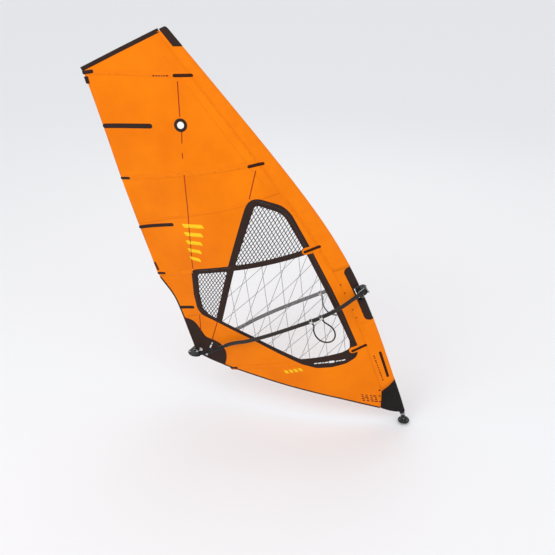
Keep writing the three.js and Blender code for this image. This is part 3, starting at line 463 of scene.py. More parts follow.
def soft_edges(made, width, segments):
    """Rounds the edges of a piece, by a width in mm."""
    soften = made.modifiers.new("edges", "BEVEL")
    soften.width = width * MM
    soften.segments = segments
    soften.limit_method = "ANGLE"
    soften.angle_limit = math.radians(40)
    soften.harden_normals = True


def give_wall(made, name, thickness, offset):
    """Gives an open sheet its thickness in mm."""
    solid = made.modifiers.new(name, "SOLIDIFY")
    solid.thickness = thickness * MM
    solid.offset = offset


def piece(name, verts, faces, body, look, uvs=None, flat_from=None, slot=None, replaces=()):
    """One piece. uvs is one pair per vertex. Faces from flat_from on are shaded flat."""
    mesh = bpy.data.meshes.new(name)
    mesh.from_pydata([tuple(v) for v in verts], [], faces)
    mesh.validate()
    bm = bmesh.new()
    bm.from_mesh(mesh)
    bmesh.ops.recalc_face_normals(bm, faces=bm.faces[:])
    bm.to_mesh(mesh)
    bm.free()
    for polygon in mesh.polygons:
        polygon.use_smooth = flat_from is None or polygon.index < flat_from
    if uvs:
        layer = mesh.uv_layers.new(name="cloth")
        for loop in mesh.loops:
            layer.data[loop.index].uv = uvs[loop.vertex_index]
    made = bpy.data.objects.new(name, mesh)
    bpy.context.scene.collection.objects.link(made)
    made.data.materials.append(MAT[look])
    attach(made, body)
    if replaces:
        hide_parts(*replaces)
    return made


def cut_flat(outlines, cell):
    """Flat faces inside outlines, with any hole given as another outline, cut on a square grid."""
    bm = bmesh.new()
    for outline in outlines:
        verts = [bm.verts.new((a, z, 0)) for a, z in outline]
        for i, v in enumerate(verts):
            bm.edges.new((verts[i - 1], v))
    bmesh.ops.triangle_fill(bm, use_beauty=True, edges=bm.edges[:])
    for axis in (0, 1):
        values = [v.co[axis] for v in bm.verts]
        for k in range(math.ceil(min(values) / cell), math.floor(max(values) / cell) + 1):
            place, normal = [0, 0, 0], [0, 0, 0]
            place[axis], normal[axis] = k * cell, 1
            bmesh.ops.bisect_plane(bm, geom=bm.verts[:] + bm.edges[:] + bm.faces[:],
                                   plane_co=place, plane_no=normal, dist=0.01)
    bmesh.ops.remove_doubles(bm, verts=bm.verts[:], dist=0.02)
    bm.verts.index_update()
    points = [(v.co.x, v.co.y) for v in bm.verts]
    faces = [[v.index for v in f.verts] for f in bm.faces]
    rim = [[v.index for v in e.verts] for e in bm.edges if len(e.link_faces) == 1]
    bm.free()
    return points, faces, rim


def film(name, outlines, look, half=0.35, base=belly, lift=0.0, cell=32, **more):
    """A thin closed piece laid on the sail, cut to outlines of (aft, height) corners. base gives
    the side position under it, and lift shifts it sideways."""
    points, faces, rim = cut_flat(outlines, cell)
    count = len(points)
    heights = [base(*p) for p in points]
    verts = [world(a, y - half + lift, z) for (a, z), y in zip(points, heights)]
    verts += [world(a, y + half + lift, z) for (a, z), y in zip(points, heights)]
    solid = faces + [[i + count for i in reversed(f)] for f in faces]
    flat_from = len(solid)
    solid += [[a, b, b + count, a + count] for a, b in rim]
    uvs = [(a * MM, z * MM) for a, z in points] * 2
    return piece(name, verts, solid, "rig", look, uvs, flat_from, **more)


def strip(line, width, round_ends=False):
    """The outline of a strip of that width along a line of (aft, height) points."""
    pts = [Vector(p) for p in line]
    left, right = [], []
    for i, p in enumerate(pts):
        along = (pts[min(i + 1, len(pts) - 1)] - pts[max(i - 1, 0)]).normalized()
        side = Vector((-along.y, along.x)) * width / 2
        left.append(tuple(p + side))
        right.append(tuple(p - side))
    if not round_ends:
        return left + right[::-1]
    cap = []
    along = (pts[-1] - pts[-2]).normalized()
    side = Vector((-along.y, along.x))
    for k in range(1, 6):
        angle = math.pi * k / 6
        cap.append(tuple(pts[-1] + (side * math.cos(angle) + along * math.sin(angle)) * width / 2))
    return left + cap + right[::-1]


def sweep(name, path, radius, body, look, sides=16, caps=True, **more):
    """A round tube along points in metres. radius is in metres, one number or one per point."""
    pts = [Vector(p) for p in path]
    last = len(pts) - 1
    normal = pts[1] - pts[0]
    normal = normal.normalized().orthogonal().normalized()
    verts, uvs, faces = [], [], []
    run = 0.0
    for i, p in enumerate(pts):
        along = (pts[min(i + 1, last)] - pts[max(i - 1, 0)]).normalized()
        normal = (normal - along * normal.dot(along)).normalized()
        other = along.cross(normal)
        r = nth(radius, i)
        run += (p - pts[i - 1]).length if i else 0
        for k in range(sides):
            angle = 2 * math.pi * k / sides
            verts.append(p + (normal * math.cos(angle) + other * math.sin(angle)) * r)
            turn = abs(2 * k / sides - 1)
            uvs.append((run, turn * math.pi * r))
    for i in range(last):
        faces += quads(i * sides, (i + 1) * sides, sides)
    flat_from = len(faces)
    if caps:
        faces += [list(range(sides)), [last * sides + k for k in range(sides)]]
    return piece(name, verts, faces, body, look, uvs, flat_from, **more)


def lathe(name, profile, place, body, look, sides=48, **more):
    """A turned piece: closed (radius, height) profile in mm. place(x, y, z) puts mm in metres."""
    verts, faces, uvs = [], [], []
    count = len(profile)
    for k in range(sides):
        angle = 2 * math.pi * k / sides
        for r, z in profile:
            verts.append(place(r * math.cos(angle), r * math.sin(angle), z))
            uvs.append((angle * 0.02, z * MM))
    for k in range(sides):
        faces += quads(k * count, ((k + 1) % sides) * count, count)
    made = piece(name, verts, faces, body, look, uvs, **more)
    bm = bmesh.new()
    bm.from_mesh(made.data)
    bmesh.ops.remove_doubles(bm, verts=bm.verts[:], dist=1e-6)
    bm.to_mesh(made.data)
    bm.free()
    made.data.set_sharp_from_angle(angle=math.radians(32))
    return made


def carry(look, bevel, *names):
    """Keeps CAD nodes, with their own material and small rounded edges."""
    for name in names:
        kept = nodes[name]
        kept.data.materials.clear()
        kept.data.materials.append(MAT[look])
        soft_edges(kept, bevel, 2)
        kept.data.shade_smooth()


# Sail outlines: seams between panels run under the dark frame, along its middle
FRAME_OUT = [(318, 1936), (386, 2262), (436, 2350), (664, 2514), (1048, 1936),
             (1423, 1936), (1502, 1686), (1529, 1530), (1504, 1462), (1393, 1386),
             (1345, 1353), (1100, 1174), (719, 843), (600, 777), (470, 757), (336, 762),
             (216, 806), (192, 930), (219, 1278), (250, 1525), (310, 1888)]
WINDOW_UPPER = [(370, 1936), (438, 2246), (476, 2306), (636, 2424), (978, 1936)]
WINDOW_CLEAR = [(360, 1888), (304, 1525), (273, 1278), (244, 985), (260, 905), (340, 888),
                (450, 887), (566, 891), (716, 902), (1076, 1204), (1323, 1384), (1008, 1888)]
WINDOW_AFT = [(1078, 1888), (1371, 1419), (1432, 1466), (1467, 1530), (1439, 1686),
              (1374, 1888)]
MID_B = [(344, 1936), (412, 2254), (456, 2328), (615, 2450)]
MID_APEX = (664, 2450)
MID_CROSS = (1028, 1912)
MID_CORNER = (1398, 1912)
MID_D = [(1406, 1888), (1470, 1686), (1498, 1530), (1468, 1466)]
MID_E = [(1382, 1403), (1088, 1189)]
MID_G = [(717, 872), (583, 834), (460, 822), (338, 825), (238, 855)]
MID_F = [(218, 957), (246, 1278), (277, 1525), (335, 1888)]
LEECH = smooth_line([(1656, 3841), (1651, 3796), (1684, 3322), (1709, 3060), (1726, 2876),
                     (1740, 2660), (1750, 2480), (1758, 2290), (1765, 2110), (1773, 1936),
                     (1762, 1888), (1708, 1686), (1702, 1530), (1703, 1450), (1708, 1316),
                     (1712, 1173), (1713, 1104), (1690, 1046), (1605, 975), (1496, 909)], 5)
HEM = smooth_line([(180, 197), (230, 228), (340, 295), (493, 387), (630, 462), (787, 547),
                   (930, 621), (1188, 755), (1478, 896)], 4)
CLEW_EDGE = smooth_line([(1703, 1450), (1624, 1401), (1587, 1316), (1561, 1226), (1478, 1173),
                         (1433, 1130), (1416, 1054), (1436, 979), (1483, 900)], 4)
CLEW_RING, CLEW_EYE = (1669, 1088), (1631, 1028)
HEIGHT_DOTS = [(174, 1529), (160, 1444), (148, 1357), (138, 1270), (129, 1184)]
LUFF_DASHES = [((819, 3541), (951, 3578), 26), ((487, 2724), (597, 2735), 26),
               ((246, 1917), (367, 1914), 24), ((124, 893), (246, 873), 24),
               ((24, 785), (20, 530), 22)]
PORTHOLE = (1023, 3201)
THIN_LINES = [[(940, 3529), (1007, 3266)], [(1032, 3147), (1061, 3059)], [(1085, 2985), (1097, 2940)],
              [(1135, 2805), (1218, 2510)], [(1218, 2510), (1383, 2010)], [(1383, 2010), (1401, 1944)],
              [(1533, 1460), (1590, 1292)], [(556, 2688), (668, 2483)], [(1380, 1374), (1513, 1181)]]
BATTENS = {1: (sleeve_edge(3550), (1640, 3794)), 2: (sleeve_edge(2742), (1716, 2874)),
           3: ((300, 1912), (1755, 1912)), 4: ((205, 863), (1455, 861))}
MINI_BATTENS = [((1666, 3342), (1278, 3254), 40), ((1746, 2405), (1430, 2387), 32),
                ((1694, 1558), (1569, 1548), 30)]


def leech_index(height):
    """Which of the leech's points is nearest to a height."""
    return LEECH.index(min(LEECH, key=lambda p: abs(p[1] - height)))


def leech(top, low):
    """The leech's points between two heights, from the top down."""
    return [p for p in LEECH if low < p[1] < top]


def luff(low, high, edge=sleeve_edge):
    """The front edge of a panel between two heights, from the bottom up."""
    return [edge(z) for z in steps(low, high, 45)]


def film_panels():
    """The orange panels. Each has the CAD panel it stands for and its flat cut in metres."""
    head = luff(3547, 3870) + [(992, 3942), (1656, 3841)] + leech(3840, 3797) + [(1651, 3796)]
    upper = luff(2735, 3547) + [(1651, 3796)] + leech(3795, 2877) + [(1726, 2876)]
    middle = luff(2450, 2735) + [(1726, 2876)] + leech(2875, 2451)
    middle += [(1752, 2450), MID_APEX, MID_B[3]]
    aft = [MID_APEX, (1752, 2450)] + leech(2449, 1913) + [(1768, 1912), MID_CORNER, MID_CROSS]
    luff_side = (luff(880, CUT_LOW) + luff(CUT_LOW + 8, CUT_HIGH - 8, cut_edge)
                 + luff(CUT_HIGH, 2450) + MID_B[::-1] + MID_F[::-1] + [(226, 905)])
    leech_side = [MID_CORNER, (1768, 1912)] + leech(1911, 1451) + [(1703, 1450), (1468, 1466)]
    leech_side += MID_D[2::-1]
    foot_upper = [(1468, 1466)] + CLEW_EDGE + [(717, 872), MID_E[1], MID_E[0]]
    foot_lower = [(118, 374)] + luff(400, 880) + [(226, 905)] + MID_G[::-1] + [(1483, 900)]
    foot_lower += HEM[::-1] + [(168, 204), (140, 268)]
    cuts = {"panel_head": (head, (0.93, 0.40)), "panel_upper": (upper, (1.40, 1.15)),
            "panel_middle": (middle, (1.38, 0.45)), "panel_aft": (aft, (1.14, 0.56)),
            "panel_luff": (luff_side, (0.40, 1.62)), "panel_leech": (leech_side, (0.40, 0.48)),
            "panel_foot_upper": (foot_upper, (1.02, 0.62)),
            "panel_foot_lower": (foot_lower, (1.42, 0.75))}
    for name, (outline, flat) in cuts.items():
        made = film("film_" + name[6:], [outline], "film", slot="orange_film", replaces=[name])
        cut_area(outline, flat)


def twice_area(outline):
    """Twice the area inside an outline, negative if it runs clockwise."""
    return sum(a[0] * b[1] - b[0] * a[1] for a, b in zip(outline, outline[1:] + outline[:1]))


def cut_area(outline, flat):
    """A sheet's own area in square metres, with 2% for the draft, within the size it is cut from."""
    area = abs(twice_area(outline)) / 2 * MM * MM
    return min(area * 1.02, flat[0] * flat[1])


def windows():
    upper = MID_B + [MID_APEX, MID_CROSS, (344, 1912)]
    clear = [(335, 1912), (1028, 1912), (1050, 1880), (1349, 1402)] + [MID_E[1]] + MID_G + MID_F
    aft = [(1028, 1912), MID_CORNER] + MID_D + [MID_E[0], (1349, 1402), (1050, 1880)]
    rows = (("upper", upper, "scrim_film", "scrim_film", "window_mesh_upper", (0.70, 0.56)),
            ("clear", clear, "clear", "clear_film", "window_clear", (1.15, 1.10)),
            ("aft", aft, "scrim_film", "scrim_film", "window_mesh_aft", (0.48, 0.52)))
    for name, outline, look, slot, cad, flat in rows:
        made = film(f"window_film_{name}", [outline], look, 0.25, slot=slot, replaces=[cad])
        cut_area(outline, flat)


def inside(point, outline):
    """Whether a point lies inside an outline."""
    x, z = point
    odd = False
    for (ax, az), (bx, bz) in zip(outline, outline[1:] + outline[:1]):
        if (az > z) != (bz > z) and x < ax + (bx - ax) * (z - az) / (bz - az):
            odd = not odd
    return odd


def clipped(start, direction, outline):
    """The stretches of a straight line that lie inside an outline."""
    dx, dz = direction
    hits = []
    for (ax, az), (bx, bz) in zip(outline, outline[1:] + outline[:1]):
        ex, ez = bx - ax, bz - az
        det = ex * dz - ez * dx
        if abs(det) < 1e-9:
            continue
        t = (ex * (az - start[1]) - ez * (ax - start[0])) / det
        s = (dx * (az - start[1]) - dz * (ax - start[0])) / det
        if 0 <= s < 1:
            hits.append(t)
    hits.sort()
    at = [(start[0] + dx * t, start[1] + dz * t) for t in hits]
    return [(a, b) for a, b in zip(at, at[1:])
            if math.dist(a, b) > 4 and inside(lerp(a, b, 0.5), outline)]


def threads(name, outlines, families, width, look):
    """Straight threads across windows. A family is (angle from the aft direction, spacing, shift)."""
    lines = []
    for outline in outlines:
        for angle, spacing, shift in families:
            along = (math.cos(math.radians(angle)), math.sin(math.radians(angle)))
            across = (-along[1], along[0])
            reach = [p[0] * across[0] + p[1] * across[1] for p in outline]
            for k in range(math.floor(min(reach) / spacing), math.ceil(max(reach) / spacing) + 1):
                d = k * spacing + shift
                for a, b in clipped((across[0] * d, across[1] * d), along, outline):
                    count = max(2, round(math.dist(a, b) / 60) + 1)
                    lines.append([lerp(a, b, i / (count - 1)) for i in range(count)])
    verts, faces = [], []
    for line in lines:
        along = (Vector(line[-1]) - Vector(line[0])).normalized()
        side = Vector((-along.y, along.x)) * width / 2
        for i, (a, z) in enumerate(line):
            y = belly(a, z)
            here = len(verts)
            for s, d in ((-1, -0.55), (1, -0.55), (1, 0.55), (-1, 0.55)):
                verts.append(world(a + side.x * s, y + d, z + side.y * s))
            if i:
                faces += quads(here - 4, here, 4)
        first = len(verts) - 4 * len(line)
        faces += [[first + 3, first + 2, first + 1, first], [len(verts) - 4 + k for k in range(4)]]
    return piece(name, verts, faces, "rig", look)


def window_threads():
    threads("threads_mesh", [WINDOW_UPPER, WINDOW_AFT], [(77.5, 31, 0), (140.5, 24.3, 8)], 6.5,
            "thread_dark")
    threads("threads_clear", [WINDOW_CLEAR], [(149.5, 141, 113), (101.5, 158, 154), (126, 142, 25)],
            4.2, "thread_grey")


def frame_tape():
    outer = rounded(FRAME_OUT, [8, 400, 400, 150, 8, 75, 400, 160, 60, 60, 60, 80, 80, 90, 90,
                                120, 90, 60, 60, 60, 8])
    holes = [rounded(WINDOW_UPPER, [10, 300, 300, 36, 10]),
             rounded(WINDOW_CLEAR, [8, 60, 60, 60, 50, 60, 60, 60, 60, 40, 8, 8]),
             rounded(WINDOW_AFT, [8, 8, 40, 60, 60, 40])]
    made = film("frame_tape", [outer] + holes, "tape", 0.9, slot="dark_tape",
                replaces=["window_frame_upper", "window_frame_lower"])


# The luff sleeve and the other skins about the mast
def cloth_side(height, nose, tail, share, sign, bulge=0.0):
    """(q, y) of a sleeve's side, at a share of the way from the mast to its tail."""
    def middle(q):
        return belly(bend(height) + q, height)
    q = share * tail
    slant = math.atan2(middle(q + 3) - middle(max(0, q - 3)), 6 if q > 3 else 3 + q)
    thick = nose * (1 - share ** 2.6) * (1 + bulge * math.sin(math.pi * share)) + 0.5
    return q - sign * math.sin(slant) * thick, middle(q) + sign * math.cos(slant) * thick


def section(height, nose, tail, slope=0.0, bulge=0.0, end=1.0):
    """A ring about the mast, from the port side round the nose to starboard. end is how much of
    the way to the tail it starts at."""
    shares = [end * (1 - i / 14) for i in range(14)]
    lean = math.atan2(belly(bend(height) + 6, height), 6)
    points = [cloth_side(height, nose, tail, share, 1, bulge) for share in shares]
    for k in range(13):
        angle = lean + math.pi * (0.5 + k / 12)
        points.append((math.cos(angle) * (nose + 0.5), math.sin(angle) * (nose + 0.5)))
    points += [cloth_side(height, nose, tail, share, -1, bulge) for share in shares[::-1]]
    return [(bend(height + slope * q) + q, y, height + slope * q) for q, y in points]


def skin(name, rings, look, thickness=0.8, **more):
    """A sheet through rings of (aft, y, height) points, with a Solidify modifier for its cloth."""
    count = len(rings[0])
    verts = [world(*p) for ring in rings for p in ring]
    girth = [0.0]
    for a, b in zip(rings[0], rings[0][1:]):
        girth.append(girth[-1] + math.dist(a, b))
    uvs = [(girth[j] * MM, ring[0][2] * MM) for ring in rings for j in range(count)]
    faces = []
    for i in range(len(rings) - 1):
        a, b = i * count, (i + 1) * count
        faces += [[a + j, b + j, b + j + 1, a + j + 1] for j in range(count - 1)]
    made = piece(name, verts, faces, "rig", look, uvs, **more)
    give_wall(made, "cloth", thickness, 0)
    return made


def sleeves():
    def ring(z):
        return section(z, mast_radius(z) + SLEEVE_GAP, sleeve_tail(z))
    low_rings = []
    for share in (0, 0.25, 0.5, 0.75):
        rest = 1 - share
        low_rings.append(section(450 + 200 * share, 22 - share, 117 + share, -0.65 * rest, 0.25 * rest))
    low_rings += [ring(z) for z in steps(650, CUT_LOW, 40)]
    high_rings = [ring(z) for z in steps(CUT_HIGH, HEAD_CAP_TOP, 40)]
    lower = skin("sleeve_cloth_lower", low_rings, "sleeve", slot="orange_cloth",
                 replaces=["sleeve_lower"])
    upper = skin("sleeve_cloth_upper", high_rings, "sleeve", slot="orange_cloth",
                 replaces=["sleeve_upper"])
    head_patch()


def head_patch():
    """The dark cap over the sleeve's top. Its lower edge slopes, and its top closes over the mast."""
    cap_rings = []
    for z in steps(HEAD_CAP_LOW, HEAD_CAP_TOP, 25):
        slope = 0.32 - 0.44 * (z - HEAD_CAP_LOW) / (HEAD_CAP_TOP - HEAD_CAP_LOW)
        cap_rings.append(section(z, mast_radius(z) + CAP_GAP, sleeve_tail(z), slope, end=0.56))
    for z, nose in ((3936, 11), (3943, 7), (3946, 3)):
        cap_rings.append(section(z, nose, 84, -0.12, end=0.56))
    cap = skin("head_patch", cap_rings, "tape", slot="dark_tape", replaces=["head_cap"])


def fairing():
    """The padded tack fairing, blended between its foot, waist and top."""
    keys = [(122, 27.5, 180, 0.41, 0.25), (285, 27, 148, -0.1, 0.38), (449, 22, 117, -0.65, 0.25)]
    line = smooth_line([k[:3] for k in keys], 10)
    more = smooth_line([(k[3], k[4], 0) for k in keys], 10)
    rings = [section(*place, slope, bulge) for place, (slope, bulge, _) in zip(line, more)]
    made = skin("tack_cover", rings, "fairing", 2.0, slot="fairing", replaces=["tack_fairing"])
    for name, ring in (("cover_hem_foot", rings[0]), ("cover_hem_top", rings[-1])):
        sweep(name, [world(*p) for p in ring[1:-1]], 2.2 * MM, "rig", "fairing", 8)


def cut_q(z):
    """How far aft of the mast's axis the sleeve is cut away: round at both ends of the cut-out."""
    near_end = min(z - CUT_LOW, CUT_HIGH - z, CUT_TAIL)
    return math.sqrt(CUT_TAIL ** 2 - (CUT_TAIL - near_end) ** 2)


def side_cloth(name, side, heights, gap, shares, thickness):
    """A skin along one side of the sleeve. shares gives, at a height, how far aft its points lie."""
    rings = []
    for z in heights:
        tail = sleeve_tail(z)
        points = [cloth_side(z, mast_radius(z) + gap, tail, share, side) for share in shares(z, tail)]
        rings.append([(bend(z) + q, y, z) for q, y in points])
    return skin(name, rings, "sleeve" if gap == SLEEVE_GAP else "tape", thickness), rings


def cut_shares(z, tail):
    """From the cut-out's edge to the sleeve's tail."""
    first = cut_q(z) / tail
    return [first + (1 - first) * k / 10 for k in range(11)]


def cutout():
    """The sleeve's cut-out for the boom clamp: its sides, their binding, and dark cuffs inside."""
    heights = [CUT_LOW + share * CUT_TAIL for share in (0, 0.02, 0.06, 0.13, 0.24, 0.38, 0.56, 0.78)]
    heights += steps(CUT_LOW + CUT_TAIL, CUT_HIGH - CUT_TAIL, 36)
    heights += [CUT_LOW + CUT_HIGH - z for z in heights[:8][::-1]]
    for side, name in ((-1, "starboard"), (1, "port")):
        made, rings = side_cloth(f"sleeve_cloth_side_{name}", side, heights, SLEEVE_GAP, cut_shares, 0.8)
        edge = [world(*ring[0]) for ring in rings]
        sweep(f"cutout_binding_{name}", edge, 1.7 * MM, "rig", "tape", 8)
        made, _ = side_cloth(f"cutout_band_{name}", side, steps(CUFF_LOW, CUFF_HIGH, 26), CUFF_GAP,
                             lambda z, tail: [(34 + 4 * k) / tail for k in range(8)], 1.0)
    for name, low, high, stands_for in (("low", CUT_LOW - 8, CUFF_LOW, ["cutout_patch"]),
                                        ("high", CUFF_HIGH, CUT_HIGH + 8, [])):
        rings = [section(z, mast_radius(z) + CUFF_GAP, sleeve_tail(z), end=CUFF_DEPTH / sleeve_tail(z))
                 for z in steps(low, high, 30)]
        made = skin(f"cutout_cuff_{name}", rings, "tape", 1.0, slot="dark_tape", replaces=stands_for)
    for name, z in (("low", CUT_LOW), ("high", CUT_HIGH)):
        ring = section(z, mast_radius(z) + 3.2, sleeve_tail(z))
        sweep(f"cutout_hem_{name}", [world(*p) for p in ring[13:-13]], 1.6 * MM, "rig", "tape", 8)


def surface_tree():
    """Every face of the sail's cloth made so far, to lay marks on."""
    cloths = ("film_", "window_film", "sleeve_cloth", "frame_tape", "head_patch", "clew_cloth")
    verts, faces = [], []
    graph = bpy.context.evaluated_depsgraph_get()
    for o in bpy.context.scene.objects:
        if o.name.startswith(cloths):
            here = len(verts)
            mesh = o.evaluated_get(graph).data
            verts += [o.matrix_world @ v.co for v in mesh.vertices]
            faces += [[here + i for i in p.vertices] for p in mesh.polygons]
    return BVHTree.FromPolygons(verts, faces)


def outer_side(tree, side, aft, height, clear=0.0):
    """The side position of the sail's outer face, or of its belly and clear where there is none."""
    hit = tree.ray_cast(world(aft, side * RAY_START, height), Vector((0, -side, 0)))[0]
    return belly(aft, height) + side * clear if hit is None else hit.y / MM


def marks(name, tree, outlines, look, sides, thick, cell=24):
    """Flat prints or patches laid on the outside of the sail, on starboard (-1), port (1) or both."""
    for side in sides:
        def base(aft, height, side=side):
            return outer_side(tree, side, aft, height, 0.4)
        label = name
        if len(sides) > 1:
            label += "_starboard" if side < 0 else "_port"
        film(label, outlines, look, thick / 2, base, side * thick / 4, cell)


def pill(start, end, width):
    """A strip with both ends rounded."""
    middle = lerp(start, end, 0.5)
    one = strip([middle, end], width, True)
    other = strip([middle, start], width, True)
    return one[1:-1] + other[1:-1]


def sail_marks(tree):
    """Dark patches and tabs, thin printed lines and plain bars, in the places of the real print."""
    film_tabs(tree)
    tree = surface_tree()
    tape_marks(tree)
    thin_lines(tree)
    porthole(tree)
    yellow_bars(tree)
    random.seed(5)
    white_dashes(tree)
    dark_dashes(tree)
    dots = [circle(middle, 7, 8) for middle in HEIGHT_DOTS]
    marks("height_dots", tree, dots, "ink", (-1,), 0.5)
    edge_tapes(tree)


def film_tabs(tree):
    """Orange tabs that reach over the dark frame at two battens' front ends."""
    for name, tip, start in (("film_tab_high", (384, 1920), (300, 1912)),
                             ("film_tab_low", (270, 881), (180, 884))):
        tab = strip([start, lerp(start, tip, 0.5), lerp(start, tip, 0.72)], 62, True)
        marks(name, tree, [tab], "film", (-1, 1), 1.2)


def tape_marks(tree):
    dashes = [pill(*dash) for dash in LUFF_DASHES]
    marks("luff_dashes", tree, dashes, "dash_ink", (-1,), 1.2)
    tabs = [rounded([(1662, 3782), (1574, 3770), (1574, 3800), (1660, 3812)], 10),
            rounded([(1663, 3766), (1630, 3760), (1640, 3700), (1668, 3706)], 8),
            pill((1720, 2876), (1659, 2862), 22), pill((1766, 1937), (1712, 1925), 22),
            [(1768, 2050), (1750, 2050), (1746, 1968), (1764, 1963)],
            pill((1430, 858), (1371, 863), 18)]
    marks("leech_tabs", tree, tabs, "tape", (-1, 1), 1.6)


def thin_lines(tree):
    fine = [strip([lerp(a, b, i / 6) for i in range(7)], 8) for a, b in THIN_LINES]
    marks("seam_lines", tree, fine, "line_ink", (-1,), 0.5)


def porthole(tree):
    """A white disc in a dark ring."""
    white = circle(PORTHOLE, 29, 24)
    marks("porthole_ring", tree, [circle(PORTHOLE, 54, 36), white], "tape", (-1, 1), 1.6, 12)
    marks("porthole_disc", tree, [white], "white_ink", (-1, 1), 0.8, 12)


def yellow_bars(tree):
    """Five slanted bars that get shorter downwards, and four small ones near the foot."""
    bars = []
    for k in range(5):
        z = 2370 - 78 * k
        middle = 1240 + (2370 - z) * 0.33
        half = 95 - 12 * k
        bars.append(rounded([(middle - half, z - 18), (middle + half, z + 16),
                             (middle + half - 14, z - 24), (middle - half - 14, z - 58)], 9))
    for k in range(4):
        a, z = 742 + 46 * k, 800 - 2 * k
        bars.append(rounded([(a, z), (a + 32, z + 6), (a + 22, z - 30), (a - 10, z - 36)], 5))
    marks("yellow_bars", tree, bars, "yellow_ink", (-1,), 0.5)


def white_dashes(tree):
    """A row of dashes on the frame tape, with a pill in its middle."""
    dashes = []
    along = 606.0
    while along > 330:
        length = random.choice((10, 16, 24, 34))
        if not 430 < along < 470:
            height = 815 + (along - 460) * 0.1
            dashes.append(pill((along, height), (along - length, height), 10))
        along -= length + 13
    dashes.append(pill((472, 817), (436, 813), 22))
    marks("white_dashes", tree, dashes, "white_ink", (-1,), 0.5)


def dark_dashes(tree):
    """Plain dashes where the sail has lettering: down the luff, at the tack and near the head."""
    plain = []
    for k in range(11):
        a, z = 85 - 1.2 * k, 772 - 26 * k
        plain.append(strip([(a, z), (a - 1, z - random.choice((12, 18)))], 11))
    for row in range(4):
        for column in range(5):
            if random.random() < 0.85:
                a, z = 142 + 36 * column, 322 - 22 * row + 14 * column
                plain.append(strip([(a, z), (a + random.choice((14, 20, 28)), z + 8)], 12))
    plain.append(circle((133, 388), 9, 12))
    along = 997.0
    while along < 1125:
        ends = along, along + random.choice((8, 14, 20))
        plain.append(strip([(a, 3589 + (a - 997) * 0.28) for a in ends], 10))
        along = ends[1] + 7
    marks("dark_dashes", tree, plain, "ink", (-1,), 0.5)


def edge_tapes(tree):
    """The dark hems of the leech and the foot, and the band along the head."""
    edges = [strip(LEECH[leech_index(1900):], 14), strip(HEM + [(1496, 909)], 14)]
    marks("edge_tape", tree, edges, "tape", (-1, 1), 1.0)
    band = strip([(958, 3932), (1330, 3876), (1658, 3825)], 34)
    marks("head_band", tree, [band], "tape", (-1, 1), 1.2)


def seams(tree):
    """Overlapped, stitched seams: a narrow raised lap for each."""
    lines = {"seam_head": (sleeve_edge(3547, -4), (1649, 3796)),
             "seam_upper": (sleeve_edge(2735, -4), (1722, 2874)),
             "seam_middle": ((712, 2450), (1748, 2450)), "seam_aft": ((1420, 1912), (1764, 1912)),
             "seam_clew": ((1510, 1452), (1640, 1420))}
    for name, (a, b) in lines.items():
        count = max(3, round(math.dist(a, b) / 60))
        path = [lerp(a, b, i / count) for i in range(count + 1)]
        marks(name, tree, [strip(path, 24)], "pocket", (-1, 1), 0.4)
    for name, lap, low, width in (("luff_seam", -6, 1700, 16), ("luff_seam_inner", -78, 2540, 7)):
        path = [sleeve_edge(z, lap) for z in steps(low, 3740, 60)]
        marks(name, tree, [strip(path, width)], "pocket", (-1, 1), 0.4)


def stitch_rows(tree):
    """Short zigzag stitches along the dark tape and the seams, on both faces."""
    rows = [([(1020, 1922), (1400, 1922)], 9), ([(216, 980), (240, 1278), (268, 1525), (326, 1880)], 9),
            ([(350, 1940), (418, 2256), (462, 2332), (612, 2452)], 9), ([(1436, 1066), (1500, 1172)], 8),
            ([(1468, 1480), (1507, 1530), (1478, 1686), (1418, 1880)], 9)]
    outlines = []
    for points, gap in rows:
        run = smooth_line(points, 30)
        for i, (a, b) in enumerate(zip(run, run[1:])):
            if math.dist(a, b) < 1:
                continue
            along = (Vector(b) - Vector(a)).normalized()
            side = Vector((-along.y, along.x)) * (gap if i % 2 else -gap) / 2
            outlines.append(strip([tuple(Vector(a) + side), tuple(Vector(b) - side)], 1.6))
    marks("stitches", tree, outlines, "stitch", (-1, 1), 0.9, 200)


def pocket(name, start, end, width, height, look, side, tree, count=28, **more):
    """A raised lens-shaped pocket along a batten, on one face of the sail."""
    verts, faces, uvs = [], [], []
    across = 9
    for i in range(count + 1):
        t = i / count
        a, z = lerp(start, end, t)
        close = min(1.0, 6 * t, 6 * (1 - t)) ** 0.5 if 0 < t < 1 else 0.0
        for j in range(across):
            v = 2 * j / (across - 1) - 1
            point = (a, z + v * width / 2)
            y = outer_side(tree, side, *point)
            rise = height * (math.cos(v * math.pi / 2) ** 1.3) * (0.35 + 0.65 * close)
            verts.append(world(point[0], y + side * (0.15 + rise), point[1]))
            uvs.append((a * MM, point[1] * MM))
    for i in range(count):
        faces += quads(i * across, (i + 1) * across, across, False)
    under = len(verts)
    for row in range(0, under, across):
        first, last = verts[row].y, verts[row + across - 1].y
        for k, v in enumerate(verts[row:row + across]):
            y = first + (last - first) * k / (across - 1) - side * 1.2 * MM
            verts.append(Vector((v.x, y, v.z)))
    faces += [[under + i for i in reversed(f)] for f in faces]
    flat_from = len(faces)
    rim = [j for j in range(across)] + [i * across + across - 1 for i in range(1, count + 1)]
    rim += [count * across + j for j in range(across - 2, -1, -1)]
    rim += [i * across for i in range(count - 1, 0, -1)]
    for a, b in zip(rim, rim[1:] + rim[:1]):
        faces.append([a, b, under + b, under + a])
    return piece(name, verts, faces, "rig", look, uvs * 2, flat_from, **more)


